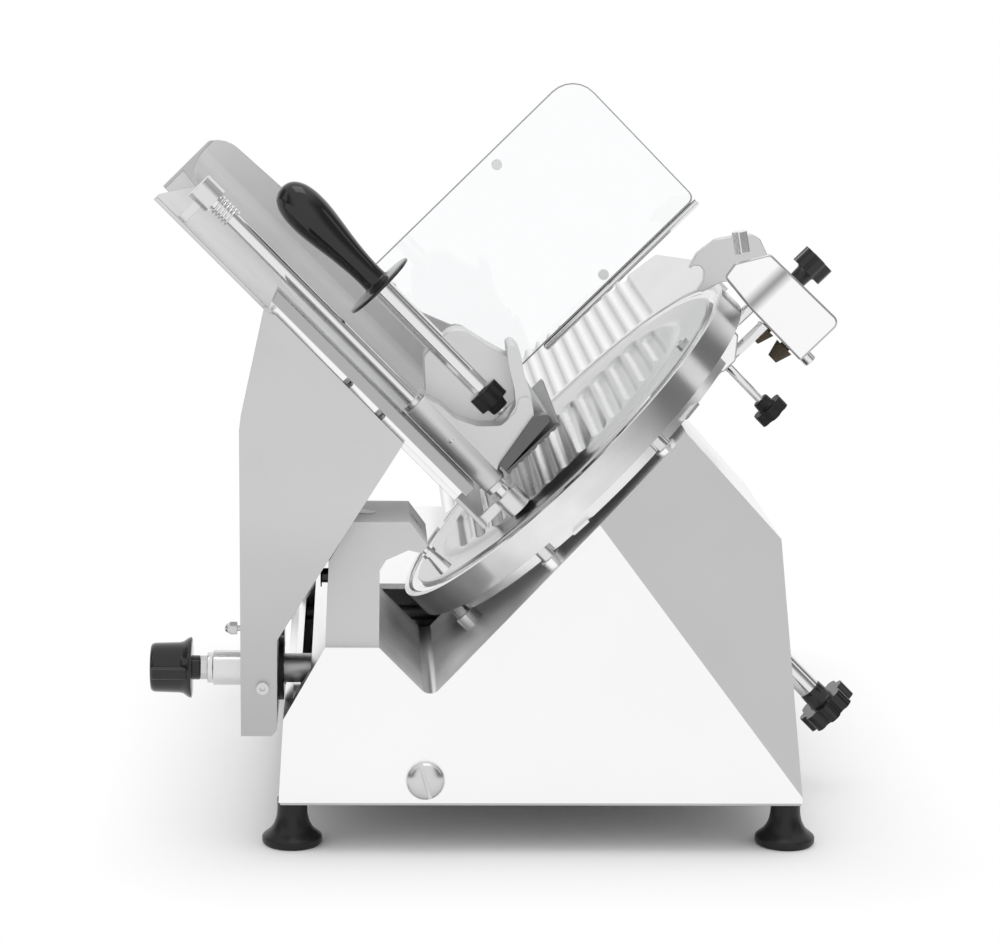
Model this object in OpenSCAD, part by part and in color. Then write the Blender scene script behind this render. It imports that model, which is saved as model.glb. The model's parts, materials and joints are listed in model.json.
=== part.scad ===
// Gravity feed food slicer with a 300 mm blade.
// X runs from the operator's side to the slice side, Y along the carriage travel, Z up.
// Every piece is placed from the blade centre, and the whole is then set on the floor.

/* [Blade and stance] */
// Blade diameter
blade_d = 300; // [280:1:304]
// Height of the blade centre above the floor
blade_h = 258; // [252:1:266]
// Slope of the blade and of the food table
tilt = 45; // [44:0.5:46]
// Blade thickness at the seat
blade_t = 3.5; // [3:0.5:4]

/* [Base] */
// Length of the base along the carriage travel
base_len = 480; // [460:1:520]
// Distance from the blade centre to the near face of the base
near_reach = 150; // [148:1:160]
// Wall thickness of the base casting
wall = 4; // [3:0.5:5]
// Thickness of the near end wall
end_wall = 8; // [7:0.5:10]
// Height of the foot
foot_h = 32; // [26:1:38]
// Radius of the foot's rim
foot_r = 20.5; // [18:0.5:24]
// Thickness of the base plate
plate_t = 2; // [1.5:0.5:3]
// Depth of the tower along the carriage travel
tower_len = 195; // [190:1:200]

/* [Carriage] */
// Thickness of the table sheet
sheet_t = 3; // [2:0.5:4]
// Width of the food table along the travel
table_w = 263; // [255:1:270]
// Radius of the pusher rod
rod_r = 5; // [4.5:0.5:5.5]
// Radius of the carriage guide rod
guide_r = 9; // [8:0.5:10]
// Thickness of the hand guard
guard_t = 3.5; // [3:0.5:5]

/* [Pusher] */
// Radius of the pusher bush
bush_r = 9; // [8.5:0.5:10]
// Length of the pusher bush
bush_len = 76; // [70:1:80]
// Radius of the handle rod
handle_r = 7.5; // [6:0.5:8]
// Length of the hand grip
grip_len = 91; // [85:1:95]
// Radius of the hand grip at its widest
grip_r = 14.5; // [13:0.5:16]

/* [Controls] */
// Radius of the carriage lock knob
lock_knob_r = 18.5; // [16:0.5:21]
// Radius of the thickness dial
dial_r = 28; // [24:1:30]
// Thickest slice that the gauge plate allows
slice_max = 15; // [10:1:16]
// Radius of the star head on the cover tie rod
star_r = 20.5; // [18:0.5:23]

/* [Hidden] */

// Overrun of every cut, running clearance of every round fit, gap between moving pieces
cut = 1;
run = 0.05;
gap = 0.3;
$fn = 48;
fine = 64;
small = 24;
six = 6;

// Base outline, seen from the near end
base_bottom = -(blade_h - foot_h - plate_t);
base_left = -198;
base_right = 158;
side_lean = 3;
side_share = 0.53704;
shoulder_in = 31;
shoulder_drop = 116;
turret_foot = 36;
turret_h = 85;
trough_drop = 35;
trough_r = 8;
trough_wall_tilt = 47;
trough_half_angle = 44;
shoulder_z = -shoulder_drop;
side_h = shoulder_z - base_bottom;
side_top_x = base_left + side_lean;
side_top_z = base_bottom + side_share * side_h;
shoulder_x = base_left + shoulder_in;
turret_foot_x = shoulder_x + turret_foot;
trough_x = -96.5;
trough_z = shoulder_z - trough_drop;
peak_x = 72.5;
peak_z = trough_z + (peak_x - trough_x) * tan(trough_wall_tilt);
slope_x = 138;
slope_drop = 71.5;
slope_z = peak_z - slope_drop;
near_y = -near_reach;
tower_y = near_y + tower_len;
far_y = near_y + base_len;
tray_start_x = 40;
tray_x = 82;
tray_h = 56;
tray_lip = 4;
tray_fall = 6;
tray_z = base_bottom + tray_h;

// The shallow facet worked into the tower's near face
facet_start_x = 15.3;
facet_angle = 53;
facet_lean = 3;
facet_back = 20;
facet_deep = 30;
facet_long = 300;
facet_high = 120;

// Places along the blade normal
edge_w = 0;
blade_r = blade_d / 2;
dish_in = 24;
seat_r = blade_r - dish_in;
blade_front = -4.5;
blade_back = blade_front - blade_t;
blade_hole_r = 20;
bevel_len = 4;
bevel_back = 3;
edge_t = 0.6;
dish_lip = 2;
dish_foot = 4;
dish_front = 0.8;
blade_screw_r = 3;
blade_screw_at = 33;
blade_head_r = 5.5;
blade_head_top_r = 4.5;
blade_head_t = 2.5;
key_r = 2;
key_deep = 1.5;
ring_rim = 6;
ring_r = blade_r + ring_rim;
ring_gap = 2;
ring_lip = 1.5;
ring_lip_in = 10;
ring_lip_r = blade_r - ring_lip_in;
ring_lip_w = -18;
ring_lip_t = 3;
ring_from = 142;
ring_to = 365;
ring_post_r = 6;
ring_post_rim = 2;
ring_post_shares = [[-0.853, -0.493], [-0.34, -0.927], [0.367, -0.913], [0.413, 0]];
ring_posts = blade_r * ring_post_shares;
ring_arm_from = 52;
ring_arm_half = 12;
ring_arm_t = 6;
ring_relief = 2;
pad_w = -27;
pad_depth = 18;
pad_rim = 4;
hub_r = 45;
hub_flange_t = 6;
shaft_r = 15;
shaft_bore_r = 8;
shaft_end = -100;
housing_r = 24;
housing_end = -76;
housing_flange_r = 40;
housing_flange_t = 6;
housing_screw_r = 2.6;
housing_screw_at = 32;
bearing_r = 20;
bearing_t = 12;
bearing_inset = 2;
pulley_front = -84;
pulley_back = -100;
pulley_r = 36;
pulley_hole_r = 5;
pulley_hole_at = 25;
belt_t = 3;
belt_w = 12;
belt_slack = 1.4 * gap;
motor_pulley_r = 20;
motor_shaft_r = 6;
motor_shaft_in = 28;
motor_u = -100;
motor_r = 36;
motor_len = 55;
motor_bore = 30;
motor_spigot_r = 13;
motor_fin_deep = 2;
motor_fin_gap = 3;
motor_fin_end = 12;
bracket_w = -104;
bracket_t = 6;
bracket_low = -145;
bracket_high = -66;
bracket_half = 42;
post_r = 5;
post_high_u = -75;
post_high_y = 34;
post_low_u = -136;
post_low_y = 25;
bracket_posts = [for (s = [1, -1]) each [[post_high_u, s * post_high_y],
    [post_low_u, s * post_low_y]]];
motor_screw_r = 2.6;
motor_head_r = 4.4;
motor_head_t = 3.5;

// Tie rod and its knob
tie_r = 5;
tie_front = -2;
tie_sleeve_r = 8.25;
tie_sleeve_w = -205;
tie_tunnel = 20;
tie_hub_w = -258;
tie_hub_r = 8.75;
tie_head_w = -270;
tie_head_t = 14;
tie_hub_lap = 7;
tie_tail = 8;
star_t = 10;
star_root_share = 0.8;

// Turret with the switches
turret_set_back = 4;
turret_len = 73;
turret_reach = 68;
turret_near = near_y + turret_set_back;
turret_far = turret_near + turret_len;
turret_top = shoulder_z + turret_h;
turret_neck_share = 0.388;
turret_shares = [[0.59, 0.306], [0.81, 0.224], [0.94, 0.247], [1, 0.188], [0.824, 0],
    [0.257, 0], [0.03, 0.318]];
nose_hole_x = -106;
nose_hole_y = -110;
nose_hole_drop = 7;
nose_hole_r = 6.5;
nose_hole_deep = 14;
button_x = -140.5;
button_y = -112;
button_r = 7;
button_tail = 4;
button_proud = 0.5;
button_flange = 1.5;
stop_rise = 41;
stop_z = shoulder_z + stop_rise;
stop_face_x = -167;
stop_r = 8;
stop_out = 3.2;
stop_travel = 2;
stop_edge = 0.5;
stop_stem_r = 5;
stop_stem_in = 10;
switch_half_x = 8;
switch_half_y = 9;
switch_low = 50;
switch_gap = 8;

// Food table, fence and rod, in the sloped axes
table_u = -68;
table_near = -128;
table_far = table_near + table_w;
table_low = 15;
table_high = 328;
table_dip_w = 304;
table_end_w = 324;
fold_r = 20;
fence_low_u = -90;
fence_toe_u = -12;
fence_knee_u = -4;
fence_knee_w = 40;
fence_bend_r = 12;
fence_bend_w = 88;
fence_waist_u = -19;
fence_waist_w = 120;
fence_corner_r = 22;
fence_corner_u = -52.5;
fence_corner_w = 302;
rod_u = -44.5;
rod_y = -118;
rod_low = 8;
rod_cap_low = 22;
rod_cap_high = 297;
rod_high = 311;
rod_cap_r = 9.5;
rod_cap_end = 1;
rod_lug_half = 3;
rod_lug_edge = 4;
spring_r = 6.4;
spring_wire = 0.7;
spring_len = 17;
spring_curls = 5;
spring_steps = 8;
spring_sides = 6;

// Carriage arm, with its table rail
arm_proud = 5;
screw_proud = 3.5;
arm_near = near_y - arm_proud;
arm_far = -70;
arm_wall = 6;
arm_lip_u = -65;
arm_lip_far = table_near - sheet_t - gap;
arm_lip_z0 = 24;
arm_lip_z1 = 108.7;
arm_right_x = -199;
arm_wide = 25.3;
arm_tall = 297;
arm_drop = 32;
arm_low_shares = [[0.05, 0], [0.86, 0], [1, 0.014], [1, 0.222]];
arm_edge_shares = [[0.62, 0.965], [0.05, 0.735], [0, 0.7], [0.012, 0.4]];
arm_boss_r = 14;
arm_boss_x = -220;
arm_boss_len = 18;
arm_trim = 400;
arm_screw_x = -208.6;
arm_screw_z = -142.4;
arm_screw_r = 2.9;
arm_screw_hole_r = 3;
arm_screw_len = 14;
arm_screw_hole = 20;
arm_head_r = 4.2;
acorn_y = -100;
acorn_z = -115;
acorn_x = -232.5;
acorn_nut_t = 5;
acorn_r = 3.6;
acorn_nut_r = 4.5;
acorn_stem_r = 2;
acorn_hole_r = 2.1;
acorn_stem = 16.5;
washer_r = 22;
washer_t = 3.5;
rail_top_u = -53;
rail_t = 8;
rail_set_back = 3;
rail_w0 = 44;
rail_w1 = 229;
rail_end_slant = 7;
rail_rib_shares = [[0.02, 0.41], [0.445, 0.573], [0.605, 0.96]];

// Carriage lock and slider
lock_y = -95;
lock_share = 0.74074;
lock_z = base_bottom + lock_share * side_h;
lock_screw_r = 5;
lock_screw_end = -206;
lock_bore_end = -190;
neck_r = 10;
slot_end_gap = 2;
slot_side_gap = 1;
carriage_back = 30;
carriage_out = 240;
guide_x = -99;
guide_rise = 16;
guide_z = base_bottom + guide_rise;
cap_r = 13;
cap_rim = 2;
cap_slot_turn = 106;
cap_dome = 5;
cap_slot = 2.4;
cap_slot_floor = 3.5;
roller_r = 10;
roller_x = -188;
roller_t = 10;
roller_pin_r = 3;
roller_pin_end = -162;
rail_edge = 1;
rail_w = 14;
rail_share = 0.2222;
rail_top = base_bottom + rail_share * side_h;
roller_z = rail_top + roller_r + gap;
slider_tube_r = 13.5;
slider_tube_near = -110;
slider_tube_len = 80;
slider_far = -62;
slider_x = -172;
slider_t = 12;
slider_clear = 10;
slider_foot = 14;
slider_rise = 9;
slider_bush_t = 3;
slider_bush_len = 20;
sleeve_x = -248;
sleeve_r = 12;
sleeve_step = 4;
sleeve_end_r = 10.5;
sleeve_far = -224.6;
lock_knob_x = -287;
lock_end_r = 14.5;
lock_waist_r = 16;
lock_cap_len = 20.5;
lock_skirt_r = 17;
lock_skirt_out = 2.5;
lock_skirt_len = 5.5;
lock_collar_r = 8.5;
lock_collar_len = 8;
lock_rib_half = 3;
lock_rib_from = 12;
lock_rib_end = 1;
lock_rib_len = 26;
lock_flute_r = 1.6;
lock_flute_end = 1;
lock_nut_r = 7.5;

// Pusher, along its rod
bush_low = 32;
bush_head = 4;
bush_long = 20;
bush_tail = 18;
bush_rim = 0.5;
inner_bush_r = 7;
handle_u = -8;
handle_y = -96;
handle_low = 76;
handle_top = 178;
handle_in = 20;
handle_step = 6;
handle_pin_r = 5;
handle_pin_low = 46;
boss_ring_r = 11;
boss_low = 44;
boss_high = 60;
web_near = rod_y - bush_r + cut;
web_far = -82;
plate_far = -78;
horn_deep = 34;
pocket_low = 33;
set_screw_r = 2;
set_screw_w = 74;
set_screw_deep = 1.5;
pusher_wide = 59.5;
pusher_tall = 74.5;
web_shares = [[0, 0], [1, 0], [0.933, 0.255], [0.7, 0.208], [0.418, 0.2]];
web_pocket_r = 14;
web_pocket_u = -19;
web_pocket_w = 62;
web_top_shares = [[0.176, 0.859], [0.076, 1], [0, 1]];
plate_shares = [[0, 0], [0.933, 0], [0.916, 1.034]];
plate_ear_r = 12;
plate_ear_u = -2;
plate_ear_w = 113;
plate_top_shares = [[0.412, 1.235], [0.143, 0.993], [0, 0.993]];
horn_shares = [[0.882, 0], [1, 0], [1.168, 0.255], [1.252, 0.55], [1.235, 0.738], [1.151, 0.63],
    [1.034, 0.362], [0.882, 0.228]];
grip_low_u = -33;
grip_high_u = 15;
grip_far = 60;
grip_back = 30;
grip_tooth = 6;
grip_tooth_from = 4;
grip_tooth_half = 1.6;
grip_neck_r = 9;
grip_disc_r = 26;
grip_disc_t = 3;
grip_disc_r2 = 12;
grip_disc_top = 4.5;
grip_foot = 5;
grip_tip = 1;
grip_neck_share = 0.12;
grip_palm_share = 0.68;
grip_end_share = 0.325;
grip_least_share = 0.02;
lobe_knob_r = 12;
lobe_knob_t = 12;
lobe_knob_w = 62;
lobe_knob_neck_r = 7.5;
lobe_knob_neck = 8;
lobe_knob_lap = 6;
pin_reach = 40;

// Hand guard
guard_y = table_far + sheet_t;
guard_low_u = -28;
guard_low_w = 38;
guard_wide = 215;
guard_tall = 132;
guard_foot_r = 6;
guard_corner_r = 22;
guard_rail_r = 2.8;
guard_rail_u = 30;
guard_rail_w = 35;
guard_rail_len = 156;
guard_fix_r = 4;
guard_fix_t = 3;
fence_fix_shares = [[0.028, 0.167], [0.028, 0.848]];
guard_fix_shares = [[0.586, 0.053], [0.586, 0.924]];

// Gauge plate and its drive
gauge_low_u = -115;
gauge_gap = 4;
gauge_over = 4;
gauge_t = 9;
gauge_front = 0.3;
gauge_a0 = 9;
gauge_right_y = 135;
gauge_slant = 24;
gauge_top_y = 320;
gauge_tip_u = -5;
gauge_far_y = 445;
flute_pitch = 12.2;
flute_first = 8;
flute_r = 7;
flute_depth = 3.5;
flute_end = 14;
flute_count = 18;
gauge_u = -85;
gauge_y = 200;
gauge_shaft_r = 8;
gauge_shaft_in = 14;
gauge_bush_r = 12;
gauge_lug_low = 15;
gauge_lug_high = 25;
gauge_lug_half = 18;
gauge_lug_back = -35;
boss_r = 17;
boss_front = -78;
boss_back = -100;
boss_clear = 12;
dial_y = 245;
dial_rise = 39;
dial_z = base_bottom + dial_rise;
dial_shaft_r = 6;
dial_x = -202;
dial_t = 7;
dial_grip_len = 15;
dial_grip_share = 0.62;
dial_skirt_share = 0.7;
dial_flute_share = 0.72;
dial_flute_r = 3;
dial_bore = 14;
cam_x0 = 20;
cam_x1 = 62;
cam_tail = 6;
cam_r = 24;
cam_sweep = 300;
cam_rest = 20;
cam_drop = slice_max * sin(tilt);
follower_r = 5;
follower_back = 9;
follower_reach = 8;
follower_far = 6;

// Cover, its screw and its stop pin
cover_in = 7;
cover_r = blade_r - cover_in;
cover_shift = 15;
cover_low = 0.7;
cover_t = 2;
cover_boss_r = 7;
cover_boss_w = -14;
dome_t = 3.2;
dome_rim = 27;
dome_r = cover_r - dome_rim;
dome_y = -14;
dome_foot = 6;
dome_in = 3;
cover_flute_pitch = 15.5;
cover_flute_r = 6.8;
cover_flute_lift = 4;
cover_flute_end = 24;
cover_flute_far = 62;
cover_flute_least = 10;
cover_screw_share = 0.769;
cover_screw_y_share = -0.5315;
cover_screw_u = cover_screw_share * cover_r;
cover_screw_y = cover_screw_y_share * cover_r;
cover_screw_r = 2.1;
cover_screw_hole_r = 2.2;
cover_head_r = 4.5;
cover_head_t = 3;
pin_u = -111;
pin_y = -108;
pin_r = 3;
pin_w = 27;
pin_hole_w = 30;
pin_seat = 46;
pin_in = 8;
pin_collar_r = 5;
pin_collar_t = 3;
pin_head_w = 10;
pin_head_len = 15;
pin_head_r = 5.2;
pin_head_top_r = 3.6;
deflector_in = 4;
deflector_r = blade_r - deflector_in;
deflector_t = 1.5;
deflector_clear = 1;
lug_out = 7;
lug_half = 7;
lug_t = 2;

// Sharpener, in the sloped axes
sharp_half = 14;
sharp_far = 34;
sharp_wall = 3;
stem_r = 4;
stem_front_w = -25;
stem_back_w = -41;
stem_low = 13;
stem_out = 22;
stem_high_u = blade_r + stem_out;
stem_step = 6;
clamp_in = 37;
clamp_u = blade_r - clamp_in;
clamp_len = 20;
clamp_w0 = -50;
clamp_w1 = -20;
clamp_screw_at = 7;
clamp_screw_u = clamp_u + clamp_screw_at;
clamp_screw_y = -9;
clamp_screw_r = 3;
clamp_screw_in = 14;
clamp_end = 12;
clamp_reach = 30;
clamp_neck_r = 6;
clamp_neck_w = 26;
clamp_neck_len = 10;
clamp_star_w = 42;
clamp_star_r = 12.5;
clamp_star_t = 9;
hood_in = 12;
hood_u = blade_r - hood_in;
hood_w = -12;
hood_wide = 59;
hood_tall = 44;
hood_shares = [[0.34, 0.41], [0.085, 0.41], [0.017, 0.48], [0, 0.636], [0.153, 0.705],
    [0.373, 0.886], [0.542, 1], [0.78, 0.75], [1, 0.455], [1, 0], [0.44, 0], [0.44, 0.364]];
slot_wall = 4;
hood_slot_shares = [[0.034, 0.364], [0.34, 0.5], [0.34, 0.341], [0.034, 0.341]];
house_out = 8;
house_u = blade_r + house_out;
house_w = -84;
house_wide = 41;
house_tall = 84;
house_shares = [[0.146, 1], [0.439, 1], [0.951, 0.857], [1, 0.071], [0.902, 0], [0.049, 0],
    [0, 0.524], [0.049, 0.762]];
house_open_shares = [[-0.2, 0.571], [0.78, 0.643], [0.805, 0.071], [-0.2, 0.071]];
hood_bolt_at = 50;
hood_bolt_u = hood_u + hood_bolt_at;
hood_bolt_w = 12;
hood_bolt_r = 5;
hood_bolt_len = 10;
press_at = 29;
press_u = house_u + press_at;
press_y = 20;
press_w = -38;
press_r = 3;
press_len = 16;
press_neck_at = 44.5;
press_neck_u = house_u + press_neck_at;
press_neck_r = 6;
press_neck_len = 4;
press_star_at = 48;
press_star_u = house_u + press_star_at;
press_star_r = 13;
press_star_t = 14;
stone_in = 4;
stone_u = blade_r - stone_in;
stone_y = 16;
stone_front_w = -47;
stone_back_w = -66;
stone_low_r = 4;
stone_r = 7.5;
stone_t = 12;
stone_axle_r = 4;
stone_axle_in = 11;
stone_axle = 33.2;

// Cable inlet
gland_x = 105;
gland_rise = 22;
gland_z = base_bottom + gland_rise;
gland_r = 8;
gland_bore_r = 4;
gland_in = 6;
gland_nut_r = 11;
gland_nut_t = 5;
gland_cone_r = 9.5;
gland_cone_end_r = 7.5;
gland_cone = 10;
gland_inner_r = 10.5;

// Feet
foot_in = 9;
foot_end = 20;
foot_neck_r = 10;
foot_flare = 4.5;
foot_rim_share = 0.94;
foot_waist_share = 0.344;
foot_curve_share = 0.732;
foot_bore_r = 5.5;
foot_bore = 12;
foot_screw_r = 5.4;
foot_screw_t = 4;
foot_key_r = 2.5;
foot_xs = [base_left + foot_in, base_right - foot_in];
foot_ys = [near_y + foot_end, far_y - foot_end];

// Shift that sets the model's box about the origin
tie_head_far_x = (-tie_head_w + tie_head_t) * sin(tilt) + star_r * cos(tilt);
mid_x = (lock_knob_x + tie_head_far_x) / 2;
mid_y = (near_y - arm_proud - screw_proud + gauge_far_y) / 2;

// Point helpers
function unit(v) = v / norm(v);
function turn_left(v) = [-v[1], v[0]];
function inset(p, t) = [for (i = [0:len(p) - 1])
    let (a = p[(i + len(p) - 1) % len(p)], b = p[i], c = p[(i + 1) % len(p)])
    let (n1 = turn_left(unit(b - a)), n2 = turn_left(unit(c - b)))
    b + t * (n1 + n2) / (1 + n1 * n2)];
function arc(cx, cy, r, a0, a1, n) = [for (i = [0:n])
    let (a = a0 + (a1 - a0) * i / n) [cx + r * cos(a), cy + r * sin(a)]];
function from_shares(at, wide, tall, shares) = [for (s = shares)
    [at[0] + s[0] * wide, at[1] + s[1] * tall]];

// Placing helpers
module machine() translate([-mid_x, -mid_y, blade_h]) children();
module sloped() machine() rotate([0, -tilt, 0]) children();
module along_y(y0, y1) translate([0, y1, 0]) rotate([90, 0, 0])
    linear_extrude(height = y1 - y0) children();
module along_u(u0, u1) translate([u0, 0, 0]) rotate([90, 0, 90])
    linear_extrude(height = u1 - u0) children();
module bar_w(r, u, y, w0, w1, sides = $fn) translate([u, y, w0])
    cylinder(r = r, h = w1 - w0, $fn = sides);
module bar_x(r, x0, x1, y, z, sides = $fn) translate([x0, y, z]) rotate([0, 90, 0])
    cylinder(r = r, h = x1 - x0, $fn = sides);
module bar_y(r, x, y0, y1, z, sides = $fn) translate([x, y1, z]) rotate([90, 0, 0])
    cylinder(r = r, h = y1 - y0, $fn = sides);
module cone_x(r1, r2, x, len, y, z) translate([x, y, z]) rotate([0, 90, 0])
    cylinder(r1 = r1, r2 = r2, h = len);
module block(p, q) translate(p) cube(q - p);
module star(r, t, lobes) {
    cylinder(r = r * star_root_share, h = t);
    for (i = [0:lobes - 1]) rotate([0, 0, i * 360 / lobes]) translate([r * star_root_share, 0, 0])
        cylinder(r = r * (1 - star_root_share), h = t, $fn = small);
}

// Outlines of the base
trough_floor = arc(trough_x, trough_z + trough_r / sin(trough_half_angle), trough_r, 225,
    270 + trough_wall_tilt, 8);
near_outline = concat([[base_left, base_bottom], [side_top_x, side_top_z],
    [shoulder_x, shoulder_z], [turret_foot_x, shoulder_z]], trough_floor,
    [[peak_x, peak_z], [slope_x, slope_z], [base_right, base_bottom]]);
near_ccw = [for (i = [len(near_outline) - 1:-1:0]) near_outline[i]];
far_ccw = [[base_left, base_bottom], [base_right, base_bottom],
    [base_right - tray_lip, tray_z - tray_fall], [tray_x, tray_z], [tray_start_x, shoulder_z],
    [shoulder_x, shoulder_z], [side_top_x, side_top_z]];
turret_ccw = concat([[shoulder_x, shoulder_z - cut], [turret_foot_x, shoulder_z - cut],
    [turret_foot_x, turret_top - turret_neck_share * turret_h]],
    from_shares([shoulder_x, turret_top], turret_reach, -turret_h, turret_shares));

function open_below(p, t) = [for (v = inset(p, t))
    v[1] < base_bottom + 2 * t ? [v[0], base_bottom - cut] : v];

module base_casting() color("gainsboro") machine() difference() {
    union() {
        along_y(near_y, tower_y) polygon(near_ccw);
        along_y(tower_y - cut, far_y) polygon(far_ccw);
        along_y(turret_near, turret_far) polygon(turret_ccw);
        rotate([0, -tilt, 0]) casting_bosses();
    }
    difference() {
        union() {
            along_y(near_y + end_wall, tower_y - wall) polygon(open_below(near_ccw, wall));
            along_y(tower_y - wall - cut, far_y - wall) polygon(open_below(far_ccw, wall));
            along_y(turret_near + wall, turret_far - wall) polygon(inset(turret_ccw, wall));
            block([shoulder_x + 2 * wall, turret_near + 2 * wall, shoulder_z - 2 * wall],
                [turret_foot_x - 2 * wall, turret_far - 2 * wall, shoulder_z + 2 * wall]);
        }
        rotate([0, -tilt, 0]) {
            casting_bosses();
            for (p = bracket_posts) bar_w(post_r, p[0], p[1], bracket_w, pad_w);
        }
    }
    facet_cut();
    rotate([0, -tilt, 0]) {
        bar_w(housing_r, 0, 0, pad_w - 3 * pad_depth, pad_w + cut);
        bar_w(tie_sleeve_r + run, 0, 0, tie_hub_w, tie_sleeve_w + tie_tunnel);
        bar_w(gauge_bush_r, gauge_u, gauge_y, boss_back - cut, boss_front + boss_clear);
        bar_w(ring_r + ring_relief, 0, 0, ring_lip_w - ring_relief / 2,
            ring_lip + ring_relief / 2);
        bar_w(pin_r + gap / 3, pin_u, pin_y, pin_hole_w, pin_seat + pin_in);
    }
    bar_y(guide_r + run, guide_x, near_y - cut, far_y + cut, guide_z);
    block([base_left - 2 * cut, lock_y - carriage_back - neck_r - slot_end_gap,
        lock_z - neck_r - slot_side_gap], [shoulder_x,
        lock_y + carriage_out + neck_r + slot_end_gap, lock_z + neck_r + slot_side_gap]);
    bar_x(dial_shaft_r + run, base_left - cut, shoulder_x, dial_y, dial_z);
    translate([button_x, button_y, turret_top - wall - cut]) cylinder(r = button_r + run,
        h = wall + 2 * cut);
    bar_x(stop_stem_r + run, stop_face_x - 2 * cut, stop_face_x + 3 * wall, button_y, stop_z);
    bar_y(gland_r, gland_x, far_y - wall - cut, far_y + cut, gland_z);
    translate([nose_hole_x, nose_hole_y, turret_top - nose_hole_drop]) rotate([0, 50, 0])
        translate([0, 0, -nose_hole_deep / 2]) cylinder(r = nose_hole_r, h = nose_hole_deep);
}
module casting_bosses() {
    bar_w(housing_flange_r + pad_rim, 0, 0, pad_w - pad_depth, pad_w);
    for (p = ring_posts) bar_w(ring_post_r + ring_post_rim, p[0], p[1], pad_w - pad_depth, pad_w);
    bar_w(boss_r, gauge_u, gauge_y, boss_back, boss_front);
}
facet_start_z = trough_z + (facet_start_x - trough_x) * tan(trough_wall_tilt);
module facet_cut() translate([facet_start_x, near_y, facet_start_z]) rotate([0, facet_angle, 0])
    rotate([-facet_lean, 0, 0]) block([-facet_back, -facet_deep, 0], [facet_long, 0, facet_high]);

module base_plate() color("silver") machine() block(
    [base_left + cut, near_y + cut, base_bottom - plate_t],
    [base_right - cut, far_y - cut, base_bottom]);

module each_foot() for (x = foot_xs, y = foot_ys)
    translate([x, y, base_bottom - plate_t]) children();

module feet() color("black") machine() each_foot() difference() {
    rotate_extrude() polygon(concat([[0, -foot_h], [foot_r, -foot_h],
        [foot_r, -foot_h * foot_rim_share]], arc(foot_r + foot_flare, -foot_h * foot_waist_share,
        foot_r * foot_curve_share, 251, 178, 8), [[foot_neck_r, 0], [0, 0]]));
    translate([0, 0, -foot_h - cut]) cylinder(r = foot_bore_r, h = foot_bore + cut, $fn = small);
}

module foot_screws() color("dimgray") machine() each_foot()
    translate([0, 0, -foot_h + foot_bore - foot_screw_t]) difference() {
        cylinder(r = foot_screw_r, h = foot_screw_t, $fn = small);
        translate([0, 0, -cut]) cylinder(r = foot_key_r, h = foot_screw_t / 2 + cut, $fn = six);
    }

module guide_rod() color("silver") machine() bar_y(guide_r, guide_x, near_y, far_y, guide_z);

module guide_rod_caps() color("silver") machine() for (s = [0, 1])
    translate([guide_x, s == 0 ? near_y : far_y, guide_z]) mirror([0, s, 0])
    rotate([90, 0, 0]) difference() {
        rotate_extrude() polygon(concat([[0, 0], [cap_r, 0]],
            [for (i = [0:6]) [cap_r * cos(i * 15), cap_rim + cap_dome * sin(i * 15)]]));
        rotate([0, 0, cap_slot_turn]) block([-cap_r - cut, -cap_slot / 2, cap_slot_floor],
            [cap_r + cut, cap_slot / 2, 3 * cap_dome]);
    }

module roller_rail() color("silver") machine() block(
    [roller_x - rail_edge, near_y + end_wall, base_bottom],
    [roller_x - rail_edge + rail_w, far_y - wall, rail_top]);

module ring_guard() color("lightgray") sloped() {
    rotate([0, 0, ring_from]) rotate_extrude(angle = ring_to - ring_from) polygon([
        [ring_lip_r, ring_lip_w], [ring_r, ring_lip_w], [ring_r, ring_lip],
        [blade_r + ring_gap, ring_lip], [blade_r + ring_gap, ring_lip_w + ring_lip_t],
        [ring_lip_r, ring_lip_w + ring_lip_t]]);
    for (p = ring_posts) bar_w(ring_post_r, p[0], p[1], pad_w, ring_lip_w + ring_lip_t / 3);
    block([ring_arm_from, -ring_arm_half, clamp_w1],
        [ring_r - cut, ring_arm_half, clamp_w1 + ring_arm_t]);
}

module slice_deflector() color("whitesmoke") sloped() difference() {
    union() {
        rotate([0, 0, 214]) rotate_extrude(angle = 112) polygon([
            [deflector_r, pad_w + deflector_clear],
            [deflector_r + deflector_t, pad_w + deflector_clear],
            [deflector_r + deflector_t, ring_lip_w], [deflector_r, ring_lip_w]]);
        for (a = [262, 304]) rotate([0, 0, a]) block(
            [deflector_r + deflector_t / 2, -lug_half, pad_w + deflector_clear],
            [deflector_r + lug_out, lug_half, pad_w + deflector_clear + lug_t]);
    }
    for (p = ring_posts) bar_w(ring_post_r + gap, p[0], p[1], pad_w, 0);
}

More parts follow.
